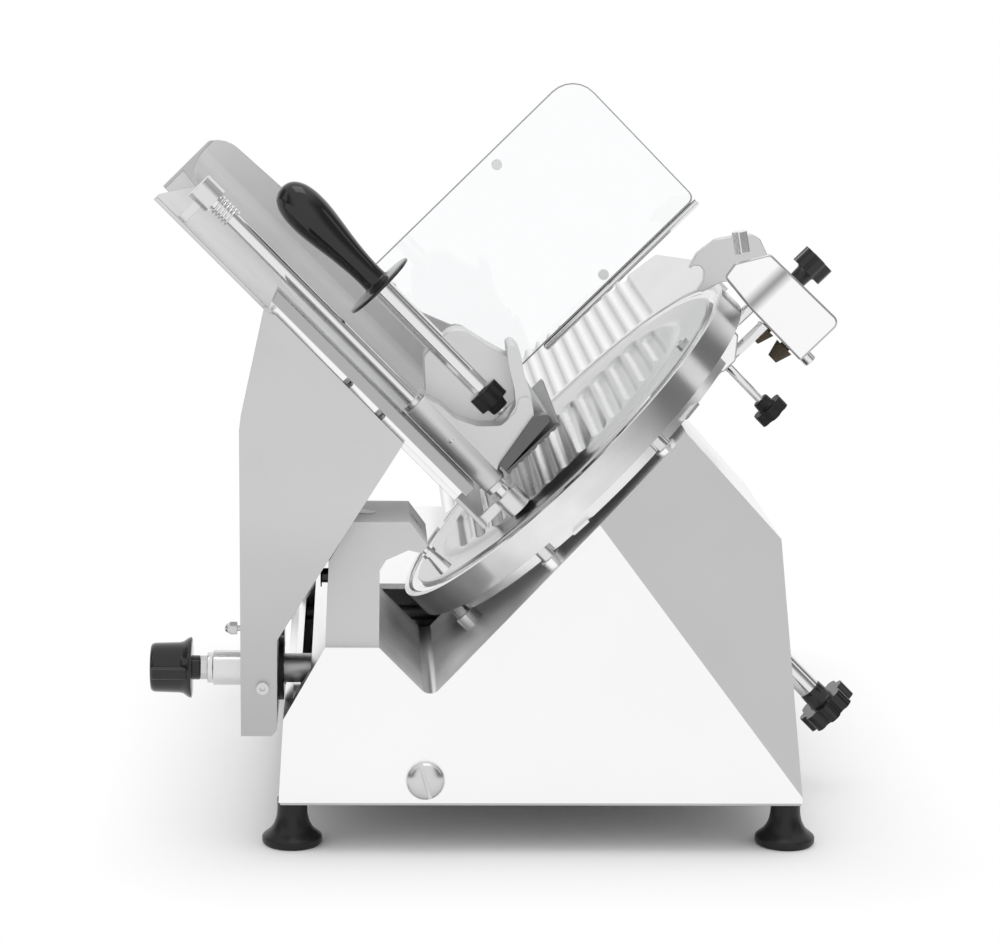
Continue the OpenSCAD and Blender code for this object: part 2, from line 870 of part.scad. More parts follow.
module blade_cover() color("gainsboro") sloped() difference() {
    union() {
        intersection() {
            bar_w(cover_r, 0, 0, cover_low, cover_low + cover_t + dome_t + cut);
            bar_w(cover_r, 0, -cover_shift, cover_low, cover_low + cover_t + dome_t + cut);
            union() {
                bar_w(cover_r, 0, 0, cover_low, cover_low + cover_t);
                translate([0, dome_y, cover_low + cover_t - gap]) cylinder(r1 = dome_r + dome_foot,
                    r2 = dome_r - dome_in, h = dome_t + gap, $fn = fine);
            }
        }
        bar_w(cover_boss_r, 0, 0, cover_boss_w, cover_low + cut);
    }
    for (i = [-6:6]) cover_flute(i * cover_flute_pitch);
    bar_w(tie_r + run, 0, 0, cover_boss_w - cut, tie_front + cut);
    bar_w(cover_screw_hole_r, cover_screw_u, cover_screw_y, cover_low - cut,
        cover_low + cover_t + cut);
}
module cover_flute(u) {
    half = sqrt(dome_r * dome_r - u * u) - cover_flute_end;
    top = cover_low + cover_t + dome_t;
    far = min(half, cover_flute_far);
    if (half > cover_flute_least) translate([u, dome_y, top + cover_flute_lift]) {
        bar_y(cover_flute_r, 0, -half, far, 0);
        for (y = [-half, far]) translate([0, y, 0]) sphere(r = cover_flute_r, $fn = small);
    }
}

module cover_screws() color("silver") sloped() difference() {
    union() {
        bar_w(cover_screw_r, cover_screw_u, cover_screw_y, cover_low, cover_low + cover_t + cut);
        bar_w(cover_head_r, cover_screw_u, cover_screw_y, cover_low + cover_t,
            cover_low + cover_t + cover_head_t);
    }
    bar_w(key_r, cover_screw_u, cover_screw_y, cover_low + cover_t + key_deep,
        cover_low + cover_t + cover_head_t + cut, six);
}

module cover_stop_pin() color("silver") sloped() {
    bar_w(pin_r, pin_u, pin_y, pin_w, pin_seat + pin_in);
    bar_w(pin_collar_r, pin_u, pin_y, pin_head_w + pin_head_len,
        pin_head_w + pin_head_len + pin_collar_t);
    translate([pin_u, pin_y, pin_head_w]) cylinder(r1 = pin_head_r, r2 = pin_head_top_r,
        h = pin_head_len);
}

module hub_housing() color("silver") sloped() difference() {
    union() {
        bar_w(housing_flange_r, 0, 0, pad_w, pad_w + housing_flange_t);
        bar_w(housing_r, 0, 0, housing_end, pad_w);
    }
    bar_w(bearing_r, 0, 0, housing_end - cut, pad_w + housing_flange_t + cut);
    for (a = [45:90:315]) rotate([0, 0, a]) bar_w(housing_screw_r, housing_screw_at, 0,
        pad_w - cut, 0);
}

bearing_ws = [housing_end + bearing_inset / 2, pad_w + housing_flange_t - bearing_t - bearing_inset];
module hub_bearings() color("silver") sloped() for (w = bearing_ws) difference() {
    bar_w(bearing_r, 0, 0, w, w + bearing_t);
    bar_w(shaft_r + run, 0, 0, w - cut, w + bearing_t + cut);
}

module motor_body() color("gray") sloped() difference() {
    union() {
        bar_w(motor_r, motor_u, 0, bracket_w - bracket_t - motor_len, bracket_w - bracket_t);
        bar_w(motor_spigot_r, motor_u, 0, bracket_w - bracket_t, bracket_w);
    }
    bar_w(motor_shaft_r + run, motor_u, 0, bracket_w - motor_bore, bracket_w + cut);
    for (a = [0:24:336]) translate([motor_u, 0, 0]) rotate([0, 0, a]) block(
        [motor_r - motor_fin_deep, -motor_fin_gap / 2, bracket_w - motor_len],
        [motor_r + cut, motor_fin_gap / 2, bracket_w - bracket_t - motor_fin_end]);
}

module motor_bracket() color("silver") sloped() difference() {
    block([bracket_low, -bracket_half, bracket_w - bracket_t],
        [bracket_high, bracket_half, bracket_w]);
    bar_w(motor_spigot_r, motor_u, 0, bracket_w - bracket_t - cut, bracket_w + cut);
    for (p = bracket_posts) bar_w(motor_screw_r, p[0], p[1], bracket_w - bracket_t - cut,
        bracket_w + cut);
}

module motor_screws() color("dimgray") sloped() for (p = bracket_posts) {
    bar_w(motor_screw_r, p[0], p[1], bracket_w - bracket_t, bracket_w);
    bar_w(motor_head_r, p[0], p[1], bracket_w - bracket_t - motor_head_t,
        bracket_w - bracket_t, six);
}

belt_mid = (pulley_front + pulley_back) / 2;
function belt_loop(extra) = let (a = acos((pulley_r - motor_pulley_r) / -motor_u))
    concat(arc(0, 0, pulley_r + extra, -(180 - a), 180 - a, 30),
        arc(motor_u, 0, motor_pulley_r + extra, 180 - a, 180 + a, 20));
module drive_belt() color("black") sloped() translate([0, 0, belt_mid - belt_w / 2])
    linear_extrude(height = belt_w) difference() {
        polygon(belt_loop(belt_slack + belt_t));
        polygon(belt_loop(belt_slack));
    }

module gauge_bush() color("darkgoldenrod") sloped() difference() {
    bar_w(gauge_bush_r, gauge_u, gauge_y, boss_back, boss_front);
    bar_w(gauge_shaft_r + run, gauge_u, gauge_y, boss_back - cut, boss_front + cut);
}

module clamp_block() color("gainsboro") sloped() difference() {
    block([clamp_u, -sharp_half, clamp_w0], [clamp_u + clamp_len, sharp_half, clamp_w1]);
    for (w = [stem_front_w, stem_back_w]) bar_x(stem_r + run, clamp_u - cut,
        clamp_u + clamp_len + cut, 0, w);
    bar_w(clamp_screw_r + run, clamp_screw_u, clamp_screw_y, clamp_w0 - cut,
        clamp_w0 + clamp_screw_in);
}

module switch_body() color("dimgray") machine() block(
    [button_x - switch_half_x, button_y - switch_half_y, turret_top - switch_low],
    [turret_foot_x - wall, button_y + switch_half_y, turret_top - wall - switch_gap]);

module cable_gland() color("black") machine() difference() {
    union() {
        bar_y(gland_r, gland_x, far_y - wall - gland_in, far_y, gland_z);
        bar_y(gland_nut_r, gland_x, far_y, far_y + gland_nut_t, gland_z, six);
        translate([gland_x, far_y + gland_nut_t, gland_z]) rotate([-90, 0, 0])
            cylinder(r1 = gland_cone_r, r2 = gland_cone_end_r, h = gland_cone);
        bar_y(gland_inner_r, gland_x, far_y - wall - gland_in, far_y - wall, gland_z);
    }
    bar_y(gland_bore_r, gland_x, far_y - wall - gland_in - cut,
        far_y + gland_nut_t + gland_cone + cut, gland_z);
}

module blade() color("silver") sloped() difference() {
    rotate_extrude($fn = 2 * fine) polygon([[blade_hole_r, blade_back],
        [seat_r - dish_foot, blade_back], [seat_r + dish_lip, blade_back + dish_lip],
        [blade_r - bevel_len, -bevel_back], [blade_r, edge_w - edge_t], [blade_r, edge_w],
        [blade_r - bevel_len, edge_w], [seat_r + dish_lip, blade_front + dish_front],
        [seat_r - dish_foot, blade_front], [blade_hole_r, blade_front]]);
    for (a = [0:120:240]) rotate([0, 0, a]) bar_w(blade_screw_r, blade_screw_at, 0,
        blade_back - cut, 0);
}

module blade_hub() color("darkgray") sloped() difference() {
    union() {
        bar_w(hub_r, 0, 0, blade_back - hub_flange_t, blade_back);
        bar_w(blade_hole_r - run, 0, 0, blade_back, blade_front);
        bar_w(shaft_r, 0, 0, shaft_end, blade_back);
    }
    bar_w(shaft_bore_r, 0, 0, shaft_end - cut, cut);
    for (a = [0:120:240]) rotate([0, 0, a]) bar_w(blade_screw_r, blade_screw_at, 0,
        blade_back - hub_flange_t - cut, 0);
}

module blade_screws() color("dimgray") sloped() for (a = [0:120:240]) rotate([0, 0, a])
    translate([blade_screw_at, 0, 0]) difference() {
        union() {
            bar_w(blade_screw_r, 0, 0, blade_back - hub_flange_t, blade_front);
            translate([0, 0, blade_front]) cylinder(r1 = blade_head_r, r2 = blade_head_top_r,
                h = blade_head_t, $fn = small);
        }
        bar_w(key_r, 0, 0, blade_front + blade_head_t - key_deep,
            blade_front + blade_head_t + cut, six);
    }

module driven_pulley() color("dimgray") sloped() difference() {
    bar_w(pulley_r, 0, 0, pulley_back, pulley_front);
    bar_w(shaft_r, 0, 0, pulley_back - cut, pulley_front + cut);
    for (a = [0:60:300]) rotate([0, 0, a]) bar_w(pulley_hole_r, pulley_hole_at, 0,
        pulley_back - cut, pulley_front + cut);
}

module motor_pulley() color("dimgray") sloped() {
    bar_w(motor_pulley_r, motor_u, 0, pulley_back, pulley_front);
    bar_w(motor_shaft_r, motor_u, 0, bracket_w - motor_shaft_in, pulley_back);
}

module tie_rod() color("silver") sloped() {
    bar_w(tie_r, 0, 0, tie_sleeve_w, tie_front);
    bar_w(tie_sleeve_r, 0, 0, tie_hub_w, tie_sleeve_w);
    bar_w(tie_r, 0, 0, tie_head_w - tie_tail, tie_hub_w);
}

module tie_rod_knob() color("black") sloped() difference() {
    union() {
        bar_w(tie_hub_r, 0, 0, tie_head_w - tie_hub_lap, tie_hub_w);
        translate([0, 0, tie_head_w - tie_head_t]) star(star_r, star_t, 8);
    }
    bar_w(tie_r, 0, 0, tie_head_w - tie_tail, tie_hub_w + cut);
}

module start_button() color("silver") machine() {
    translate([button_x, button_y, turret_top - wall - button_tail]) {
        cylinder(r = button_r, h = wall + button_tail + button_proud);
        translate([0, 0, -button_flange]) cylinder(r = button_r + button_flange, h = button_flange);
    }
}

stop_head_x = stop_face_x - stop_edge - stop_travel - gap;
module stop_button() color("silver") machine() {
    bar_x(stop_stem_r, stop_head_x - gap, stop_face_x + stop_stem_in, button_y, stop_z);
    bar_x(stop_r, stop_face_x - stop_edge - stop_out, stop_head_x, button_y, stop_z);
}

gauge_arc_r = blade_r + gauge_gap;
gauge_high_u = gauge_arc_r + gauge_over;
gauge_a1 = acos(gauge_low_u / gauge_arc_r);
module gauge_plate() color("gainsboro") sloped() {
    difference() {
        translate([0, 0, gauge_front - gauge_t]) linear_extrude(height = gauge_t) polygon(concat(
            arc(0, 0, gauge_arc_r, gauge_a1, gauge_a0, 40),
            [[gauge_high_u, gauge_arc_r * sin(gauge_a0)], [gauge_high_u, gauge_right_y],
            [gauge_high_u - gauge_slant, gauge_top_y], [gauge_tip_u, gauge_far_y],
            [gauge_low_u, gauge_far_y]]));
        for (i = [0:flute_count - 1]) flute(gauge_low_u + flute_first + i * flute_pitch);
    }
    difference() {
        block([gauge_u - gauge_lug_low, gauge_y - gauge_lug_half, gauge_lug_back],
            [gauge_u + gauge_lug_high, gauge_y + gauge_lug_half, gauge_front - gauge_t]);
        bar_w(gauge_shaft_r, gauge_u, gauge_y, gauge_lug_back - cut,
            gauge_lug_back + gauge_shaft_in);
    }
}
module flute(u) {
    start = sqrt(pow(gauge_arc_r, 2) - u * u) + flute_end;
    translate([u, 0, gauge_front + flute_r - flute_depth]) {
        bar_y(flute_r, 0, start, gauge_far_y + cut, 0);
        translate([0, start, 0]) sphere(r = flute_r, $fn = small);
    }
}

follower_z = dial_z + cam_r + follower_r + gap;
gauge_drop = 3.3;
gauge_shaft_end = (follower_z - gauge_drop - gauge_u * sin(tilt)) / cos(tilt);
follower_x = (gauge_u - gauge_shaft_end) * cos(tilt);
module gauge_shaft() color("silver") machine() {
    rotate([0, -tilt, 0]) bar_w(gauge_shaft_r, gauge_u, gauge_y, gauge_shaft_end,
        gauge_lug_back + gauge_shaft_in);
    block([follower_x - follower_back, gauge_y - follower_reach, follower_z - follower_r],
        [follower_x + follower_r, dial_y + follower_far, follower_z + follower_r]);
}

module thickness_dial() color("black") machine() difference() {
    union() {
        bar_x(dial_r, dial_x - dial_t, dial_x, dial_y, dial_z);
        cone_x(dial_r * dial_grip_share, dial_r * dial_skirt_share,
            dial_x - dial_t - dial_grip_len, dial_grip_len, dial_y, dial_z);
    }
    bar_x(dial_shaft_r, dial_x - dial_bore, dial_x + cut, dial_y, dial_z);
    for (a = [0:30:330]) translate([0, dial_y, dial_z]) rotate([a, 0, 0])
        bar_x(dial_flute_r, dial_x - dial_t - dial_grip_len - cut, dial_x - dial_t - cut, 0,
            dial_r * dial_flute_share);
}

function cam_outline() = [for (i = [0:50]) let (a = i * cam_sweep / 50)
    let (r = cam_r - cam_drop * max(0, a - cam_rest) / (cam_sweep - cam_rest))
    [r * cos(90 - cam_rest + a), r * sin(90 - cam_rest + a)]];
module thickness_cam() color("dimgray") machine() {
    bar_x(dial_shaft_r, dial_x - dial_bore, cam_x1 + cam_tail, dial_y, dial_z);
    translate([0, dial_y, dial_z]) along_u(cam_x0, cam_x1) polygon(cam_outline());
}

// The arm's outline: its face follows the table's slope, its edge hangs plumb
arm_bottom = lock_z - arm_drop;
function lip_point(z) = [(arm_lip_u - z * cos(tilt)) / sin(tilt), z];
arm_outline = concat(from_shares([arm_right_x - arm_wide, arm_bottom], arm_wide, arm_tall,
    arm_low_shares), [lip_point(arm_lip_z0)], [lip_point(arm_lip_z1)],
    from_shares([arm_right_x - arm_wide, arm_bottom], arm_wide, arm_tall, arm_edge_shares));

module carriage_arm() color("lightgray") machine() difference() {
    union() {
        difference() {
            along_y(arm_near, arm_far) polygon(arm_outline);
            along_y(arm_near + arm_wall, arm_far + cut) polygon(inset(arm_outline, arm_wall));
        }
        bar_x(arm_boss_r, arm_boss_x, arm_boss_x + arm_boss_len, lock_y, lock_z);
    }
    rotate([0, -tilt, 0]) block([table_u - sheet_t, arm_lip_far, -arm_trim],
        [arm_trim, 0, arm_trim]);
    bar_x(lock_screw_r + run, arm_boss_x - arm_wall - cut, lock_bore_end, lock_y, lock_z);
    bar_y(arm_screw_hole_r, arm_screw_x, arm_near - cut, arm_near + arm_screw_hole, arm_screw_z);
    bar_x(acorn_hole_r, acorn_x - cut, acorn_x + acorn_stem + arm_wall / 2, acorn_y, acorn_z);
}

module slider_block() color("silver") machine() difference() {
    union() {
        bar_x(neck_r, arm_right_x, slider_x, lock_y, lock_z);
        block([slider_x, slider_tube_near, base_bottom + slider_clear],
            [slider_x + slider_t, slider_far, lock_z + slider_rise]);
        block([slider_x + slider_t - cut, slider_tube_near, base_bottom + slider_clear],
            [guide_x - guide_r - 2 * cut, slider_far, base_bottom + slider_clear + slider_foot]);
        bar_y(slider_tube_r, guide_x, slider_tube_near, slider_tube_near + slider_tube_len, guide_z);
    }
    bar_x(lock_screw_r + run, arm_right_x - cut, lock_bore_end, lock_y, lock_z);
    bar_y(guide_r + slider_bush_t, guide_x, slider_tube_near - cut,
        slider_tube_near + slider_tube_len + cut, guide_z);
    bar_x(roller_pin_r + run, roller_x + roller_t, slider_x + slider_t + cut, lock_y, roller_z);
}

module slider_bushes() color("darkgoldenrod") machine()
    for (y = [slider_tube_near, slider_tube_near + slider_tube_len - slider_bush_len])
        difference() {
            bar_y(guide_r + slider_bush_t, guide_x, y, y + slider_bush_len, guide_z);
            bar_y(guide_r + run, guide_x, y - cut, y + slider_bush_len + cut, guide_z);
        }

module rail_roller() color("dimgray") machine() {
    bar_x(roller_r, roller_x, roller_x + roller_t, lock_y, roller_z);
    bar_x(roller_pin_r, roller_x + roller_t, roller_pin_end, lock_y, roller_z);
}

module arm_fasteners() color("silver") machine() {
    difference() {
        bar_y(arm_head_r, arm_screw_x, arm_near - screw_proud, arm_near, arm_screw_z);
        bar_y(key_r, arm_screw_x, arm_near - screw_proud - cut, arm_near - key_deep,
            arm_screw_z, six);
    }
    bar_y(arm_screw_r, arm_screw_x, arm_near, arm_near + arm_screw_len, arm_screw_z);
    bar_x(acorn_stem_r, acorn_x, acorn_x + acorn_stem, acorn_y, acorn_z);
    bar_x(acorn_nut_r, acorn_x, acorn_x + acorn_nut_t, acorn_y, acorn_z, six);
    translate([acorn_x, acorn_y, acorn_z]) sphere(r = acorn_r, $fn = small);
}

module arm_washer() color("black") machine() difference() {
    bar_x(washer_r, arm_right_x, arm_right_x + washer_t, lock_y, lock_z);
    bar_x(neck_r, arm_right_x - cut, arm_right_x + washer_t + cut, lock_y, lock_z);
}

fence_outline = concat([[fence_low_u - cut, table_low - cut], [fence_toe_u, table_low - cut],
    [fence_knee_u, fence_knee_w]], arc(fence_knee_u - fence_bend_r, fence_bend_w, fence_bend_r, 0,
    60, 4), [[fence_waist_u, fence_waist_w]],
    arc(fence_corner_u, fence_corner_w, fence_corner_r, 0, 90, 6),
    [[fence_low_u - cut, table_high + cut]]);
module food_table() color("gainsboro") sloped() intersection() {
    translate([0, 0, table_low]) linear_extrude(height = table_high - table_low) polygon(concat(
        [[table_u - sheet_t, table_near], [table_u, table_near]],
        arc(table_u + fold_r, table_far - fold_r, fold_r, 180, 90, 8),
        [[0, table_far], [0, table_far + sheet_t], [fence_low_u, table_far + sheet_t],
        [fence_low_u, table_far], [table_u - sheet_t, table_far]]));
    along_y(table_near - cut, table_far + sheet_t + cut) polygon(fence_outline);
    along_u(fence_low_u - cut, cut) polygon([[table_near - cut, table_low],
        [table_far + 2 * sheet_t, table_low], [table_far + 2 * sheet_t, table_end_w],
        [table_far - fold_r, table_dip_w], [table_near - cut, table_high]]);
}

module table_rail() color("gainsboro") sloped() difference() {
    rail_bars();
    along_y(arm_near, table_near + cut) polygon([[table_u - sheet_t - cut, rail_w1 - rail_end_slant],
        [rail_top_u, rail_w1], [rail_top_u, rail_w1 + cut], [table_u - sheet_t - cut, rail_w1 + cut]]);
}

module rail_bars() {
    block([rail_top_u - rail_t, arm_near + rail_set_back, rail_w0],
        [rail_top_u, table_near, rail_w1]);
    block([table_u - sheet_t, table_near - rail_set_back, rail_w0],
        [rail_top_u - rail_t, table_near, rail_w1]);
    for (s = rail_rib_shares) block(
        [arm_lip_u, arm_near + rail_set_back, rail_w0 + s[0] * (rail_w1 - rail_w0)],
        [rail_top_u - rail_t, table_near - rail_set_back, rail_w0 + s[1] * (rail_w1 - rail_w0)]);
}

module pusher_rod() color("silver") sloped() bar_w(rod_r, rod_u, rod_y, rod_low, rod_high);

module rod_caps() color("silver") sloped() difference() {
    union() {
        bar_w(rod_cap_r, rod_u, rod_y, rod_low - rod_cap_end, rod_cap_low);
        bar_w(rod_cap_r, rod_u, rod_y, rod_cap_high, rod_high + rod_cap_end);
        block([table_u, rod_y - rod_lug_half, rod_cap_high + rod_lug_edge],
            [rod_u - rod_r, rod_y + rod_lug_half, rod_high - rod_lug_edge]);
        block([table_u, rod_y - rod_lug_half, table_low],
            [rod_u - rod_r, rod_y + rod_lug_half, rod_cap_low]);
    }
    bar_w(rod_r, rod_u, rod_y, rod_low, rod_high);
}

// The spring is one tube wound round the rod, and the gap between its curls is printed
spring_top = rod_cap_high - gap;
spring_pitch = (spring_len - 2 * spring_wire) / spring_curls;
function coil(turn) = let (a = turn * 360)
    [spring_r * cos(a), spring_r * sin(a), spring_top - spring_wire - turn * spring_pitch];
coil_rings = spring_steps * spring_curls;
coil_points = [for (i = [0:coil_rings])
    let (c = coil(i / spring_steps), a = i * 360 / spring_steps)
    for (k = [0:spring_sides - 1]) let (b = k * 360 / spring_sides)
    c + spring_wire * [cos(b) * cos(a), cos(b) * sin(a), sin(b)]];
coil_faces = concat([[for (k = [0:spring_sides - 1]) k]],
    [[for (k = [spring_sides - 1:-1:0]) coil_rings * spring_sides + k]],
    [for (i = [0:coil_rings - 1], k = [0:spring_sides - 1])
        let (n = (k + 1) % spring_sides, p = i * spring_sides, q = p + spring_sides)
        each [[p + k, q + k, q + n], [p + k, q + n, p + n]]]);
echo(spring_gap = spring_pitch - 2 * spring_wire);
module rod_spring() color("silver") sloped() translate([rod_u, rod_y, 0])
    polyhedron(points = coil_points, faces = coil_faces, convexity = 6);

guard_high_u = guard_low_u + guard_wide;
guard_high_w = guard_low_w + guard_tall;
guard_ccw = concat([[guard_low_u, guard_low_w]],
    arc(guard_high_u - guard_foot_r, guard_low_w + guard_foot_r, guard_foot_r, -90, 0, 3),
    arc(guard_high_u - guard_corner_r, guard_high_w - guard_corner_r, guard_corner_r, 0, 90, 6),
    [[guard_low_u, guard_high_w]]);
module hand_guard() color([0.8, 0.9, 0.95, 0.4]) sloped() along_y(guard_y, guard_y + guard_t)
    polygon(guard_ccw);

module guard_fixing(p, y) bar_y(guard_fix_r, p[0], y - guard_fix_t, y, p[1]);
module guard_rail() color("silver") sloped() {
    bar_x(guard_rail_r, guard_rail_u, guard_rail_u + guard_rail_len, guard_y + guard_t / 2,
        guard_rail_w);
    translate([guard_rail_u, guard_y + guard_t / 2, guard_rail_w]) sphere(r = guard_rail_r,
        $fn = small);
    for (p = from_shares([guard_low_u, guard_low_w], guard_wide, guard_tall, fence_fix_shares))
        guard_fixing(p, table_far);
    for (p = from_shares([guard_low_u, guard_low_w], guard_wide, guard_tall, guard_fix_shares))
        guard_fixing(p, guard_y);
}

module lock_sleeve() color("silver") machine() difference() {
    union() {
        bar_x(sleeve_r, sleeve_x + sleeve_step, sleeve_far, lock_y, lock_z);
        bar_x(sleeve_end_r, sleeve_x, sleeve_x + sleeve_step, lock_y, lock_z);
    }
    bar_x(lock_screw_r + run, sleeve_x - cut, sleeve_far + cut, lock_y, lock_z);
}

lock_skirt_x = lock_knob_x + lock_cap_len;
lock_collar_x = lock_skirt_x + lock_skirt_len;
lock_nut_x = lock_collar_x + lock_collar_len;
module lock_knob() color("black") machine() {
    difference() {
        union() {
            cone_x(lock_end_r, lock_waist_r, lock_knob_x, lock_cap_len, lock_y, lock_z);
            cone_x(lock_skirt_r, lock_knob_r + lock_skirt_out, lock_skirt_x, lock_skirt_len,
                lock_y, lock_z);
            bar_x(lock_collar_r, lock_collar_x, lock_nut_x, lock_y, lock_z);
            block([lock_knob_x + lock_rib_end, lock_y - lock_rib_half, lock_z + lock_rib_from],
                [lock_knob_x + lock_rib_end + lock_rib_len, lock_y + lock_rib_half,
                lock_z + lock_knob_r]);
        }
        for (a = [30:30:330]) translate([0, lock_y, lock_z]) rotate([a, 0, 0])
            bar_x(lock_flute_r, lock_knob_x - cut, lock_skirt_x - lock_flute_end, 0,
                lock_waist_r);
    }
    bar_x(lock_nut_r, lock_nut_x, sleeve_x - gap, lock_y, lock_z);
    bar_x(lock_screw_r, sleeve_x - gap, lock_screw_end, lock_y, lock_z);
}

module pusher_bushes() color("darkgoldenrod") sloped() {
    bush_far = bush_low + bush_len;
    difference() {
        union() {
            bar_w(inner_bush_r, rod_u, rod_y, bush_low - bush_head, bush_low - bush_head + bush_long);
            bar_w(bush_r - bush_rim, rod_u, rod_y, bush_low - bush_head, bush_low - gap);
        }
        bar_w(rod_r + run, rod_u, rod_y, bush_low - bush_head - cut, bush_low + bush_long);
    }
    difference() {
        union() {
            bar_w(inner_bush_r, rod_u, rod_y, bush_far - bush_tail, bush_far - bush_tail + bush_long);
            bar_w(bush_r - bush_rim, rod_u, rod_y, bush_far + gap,
                bush_far - bush_tail + bush_long + cut);
        }
        bar_w(rod_r + run, rod_u, rod_y, bush_far - bush_tail - cut,
            bush_far - bush_tail + bush_long + 2 * cut);
    }
}

web_outline = concat(from_shares([rod_u, pocket_low], pusher_wide, pusher_tall, web_shares),
    arc(web_pocket_u, web_pocket_w, web_pocket_r, 250, 190, 4),
    from_shares([rod_u, pocket_low], pusher_wide, pusher_tall, web_top_shares));
plate_outline = concat(from_shares([rod_u, pocket_low], pusher_wide, pusher_tall, plate_shares),
    arc(plate_ear_u, plate_ear_w, plate_ear_r, 0, 90, 4),
    from_shares([rod_u, pocket_low], pusher_wide, pusher_tall, plate_top_shares));
horn_outline = from_shares([rod_u, pocket_low], pusher_wide, pusher_tall, horn_shares);
module pusher_casting() color("lightgray") sloped() difference() {
    union() {
        bar_w(bush_r, rod_u, rod_y, bush_low, bush_low + bush_len);
        along_y(web_near, web_far) polygon(web_outline);
        along_y(web_far - cut, plate_far) polygon(plate_outline);
        along_y(web_far - horn_deep, web_far) polygon(horn_outline);
        bar_w(boss_ring_r, handle_u, handle_y, boss_low, boss_high);
    }
    bar_w(inner_bush_r + run, rod_u, rod_y, bush_low - cut, bush_low + bush_len + cut);
    bar_w(handle_pin_r + run, handle_u, handle_y, boss_low - cut, boss_high + 2 * cut);
    bar_y(set_screw_r, rod_u, rod_y - bush_r - 2 * cut, rod_y - bush_r + set_screw_deep,
        set_screw_w, small);
}

module grip_plate() color("dimgray") sloped() difference() {
    block([grip_low_u, web_near, grip_back], [grip_high_u, grip_far, pocket_low]);
    for (u = [grip_low_u + grip_tooth_from:grip_tooth:grip_high_u - grip_tooth_half])
        translate([u, 0, grip_back]) rotate([0, 45, 0])
        block([-grip_tooth_half, web_near - cut, -grip_tooth_half],
            [grip_tooth_half, grip_far + cut, grip_tooth_half]);
}

module handle_rod() color("silver") sloped() {
    bar_w(handle_r, handle_u, handle_y, handle_low + handle_step, handle_top + handle_in);
    bar_w(handle_pin_r, handle_u, handle_y, handle_pin_low, handle_low + handle_step);
}

module hand_grip() color("black") sloped() translate([handle_u, handle_y, handle_top])
    difference() {
        rotate_extrude() polygon(concat([[0, 0], [grip_disc_r, 0], [grip_disc_r, grip_disc_t],
            [grip_disc_r2, grip_disc_top]], [for (i = [0:12]) grip_point(i / 12)],
            [[0, grip_len + grip_tip + grip_disc_t]]));
        translate([0, 0, -cut]) cylinder(r = handle_r, h = handle_in + cut);
    }
function grip_point(s) = [s < grip_palm_share
    ? grip_neck_r + (grip_r - grip_neck_r) * (1 - cos(max(0, s - grip_neck_share) * 321)) / 2
    : grip_r * sqrt(max(grip_least_share, 1 - pow((s - grip_palm_share) / grip_end_share, 2))),
    grip_foot + s * (grip_len - 2 * grip_tip)];

module pusher_knob() color("black") sloped() translate([handle_u, handle_y, lobe_knob_w])
    difference() {
        union() {
            translate([0, 0, lobe_knob_lap]) star(lobe_knob_r, lobe_knob_t, 6);
            cylinder(r = lobe_knob_neck_r, h = lobe_knob_neck);
        }
        translate([0, 0, -cut]) cylinder(r = handle_pin_r + run, h = pin_reach);
    }

hood_outline = from_shares([hood_u, hood_w], hood_wide, hood_tall, hood_shares);
house_outline = from_shares([house_u, house_w], house_wide, house_tall, house_shares);
module sharpener_body() color("gainsboro") sloped() {
    difference() {
        union() {
            along_y(-sharp_half, sharp_half) polygon(hood_outline);
            along_y(-sharp_half, sharp_far) polygon(house_outline);
        }
        along_y(-sharp_half + sharp_wall, sharp_far - sharp_wall) polygon(from_shares(
            [house_u, house_w], house_wide, house_tall, house_open_shares));
        along_y(-sharp_half + slot_wall, sharp_half - slot_wall) polygon(from_shares(
            [hood_u, hood_w], hood_wide, hood_tall, hood_slot_shares));
        bar_x(press_r + run, press_u - cut, press_u + press_len, press_y, press_w);
    }
    for (w = [stem_front_w, stem_back_w]) bar_x(stem_r, clamp_u - stem_low,
        stem_high_u - stem_low + (w == stem_front_w ? stem_step : 0), 0, w);
    bar_x(hood_bolt_r, hood_bolt_u, hood_bolt_u + hood_bolt_len, 0, hood_bolt_w);
}

module grinding_stones() color("saddlebrown") sloped() for (w = [stone_front_w, stone_back_w]) {
    cone_x(stone_low_r, stone_r, stone_u, stone_t, stone_y, w);
    bar_x(stone_axle_r, stone_u + stone_axle_in, stone_u + stone_axle_in + stone_axle,
        stone_y, w);
}

module sharpener_knob() color("black") sloped() {
    bar_x(press_r, press_u, press_u + press_len, press_y, press_w);
    bar_x(press_neck_r, press_neck_u, press_neck_u + press_neck_len, press_y, press_w);
    translate([press_star_u, press_y, press_w]) rotate([0, 90, 0]) star(press_star_r,
        press_star_t, 6);
}

module clamp_knob() color("black") sloped() {
    bar_w(clamp_screw_r, clamp_screw_u, clamp_screw_y, clamp_w0 - clamp_reach,
        clamp_w0 + clamp_end);
    bar_w(clamp_neck_r, clamp_screw_u, clamp_screw_y, clamp_w0 - clamp_neck_w - clamp_neck_len,
        clamp_w0 - clamp_neck_w);
    translate([clamp_screw_u, clamp_screw_y, clamp_w0 - clamp_star_w])
        star(clamp_star_r, clamp_star_t, 6);
}

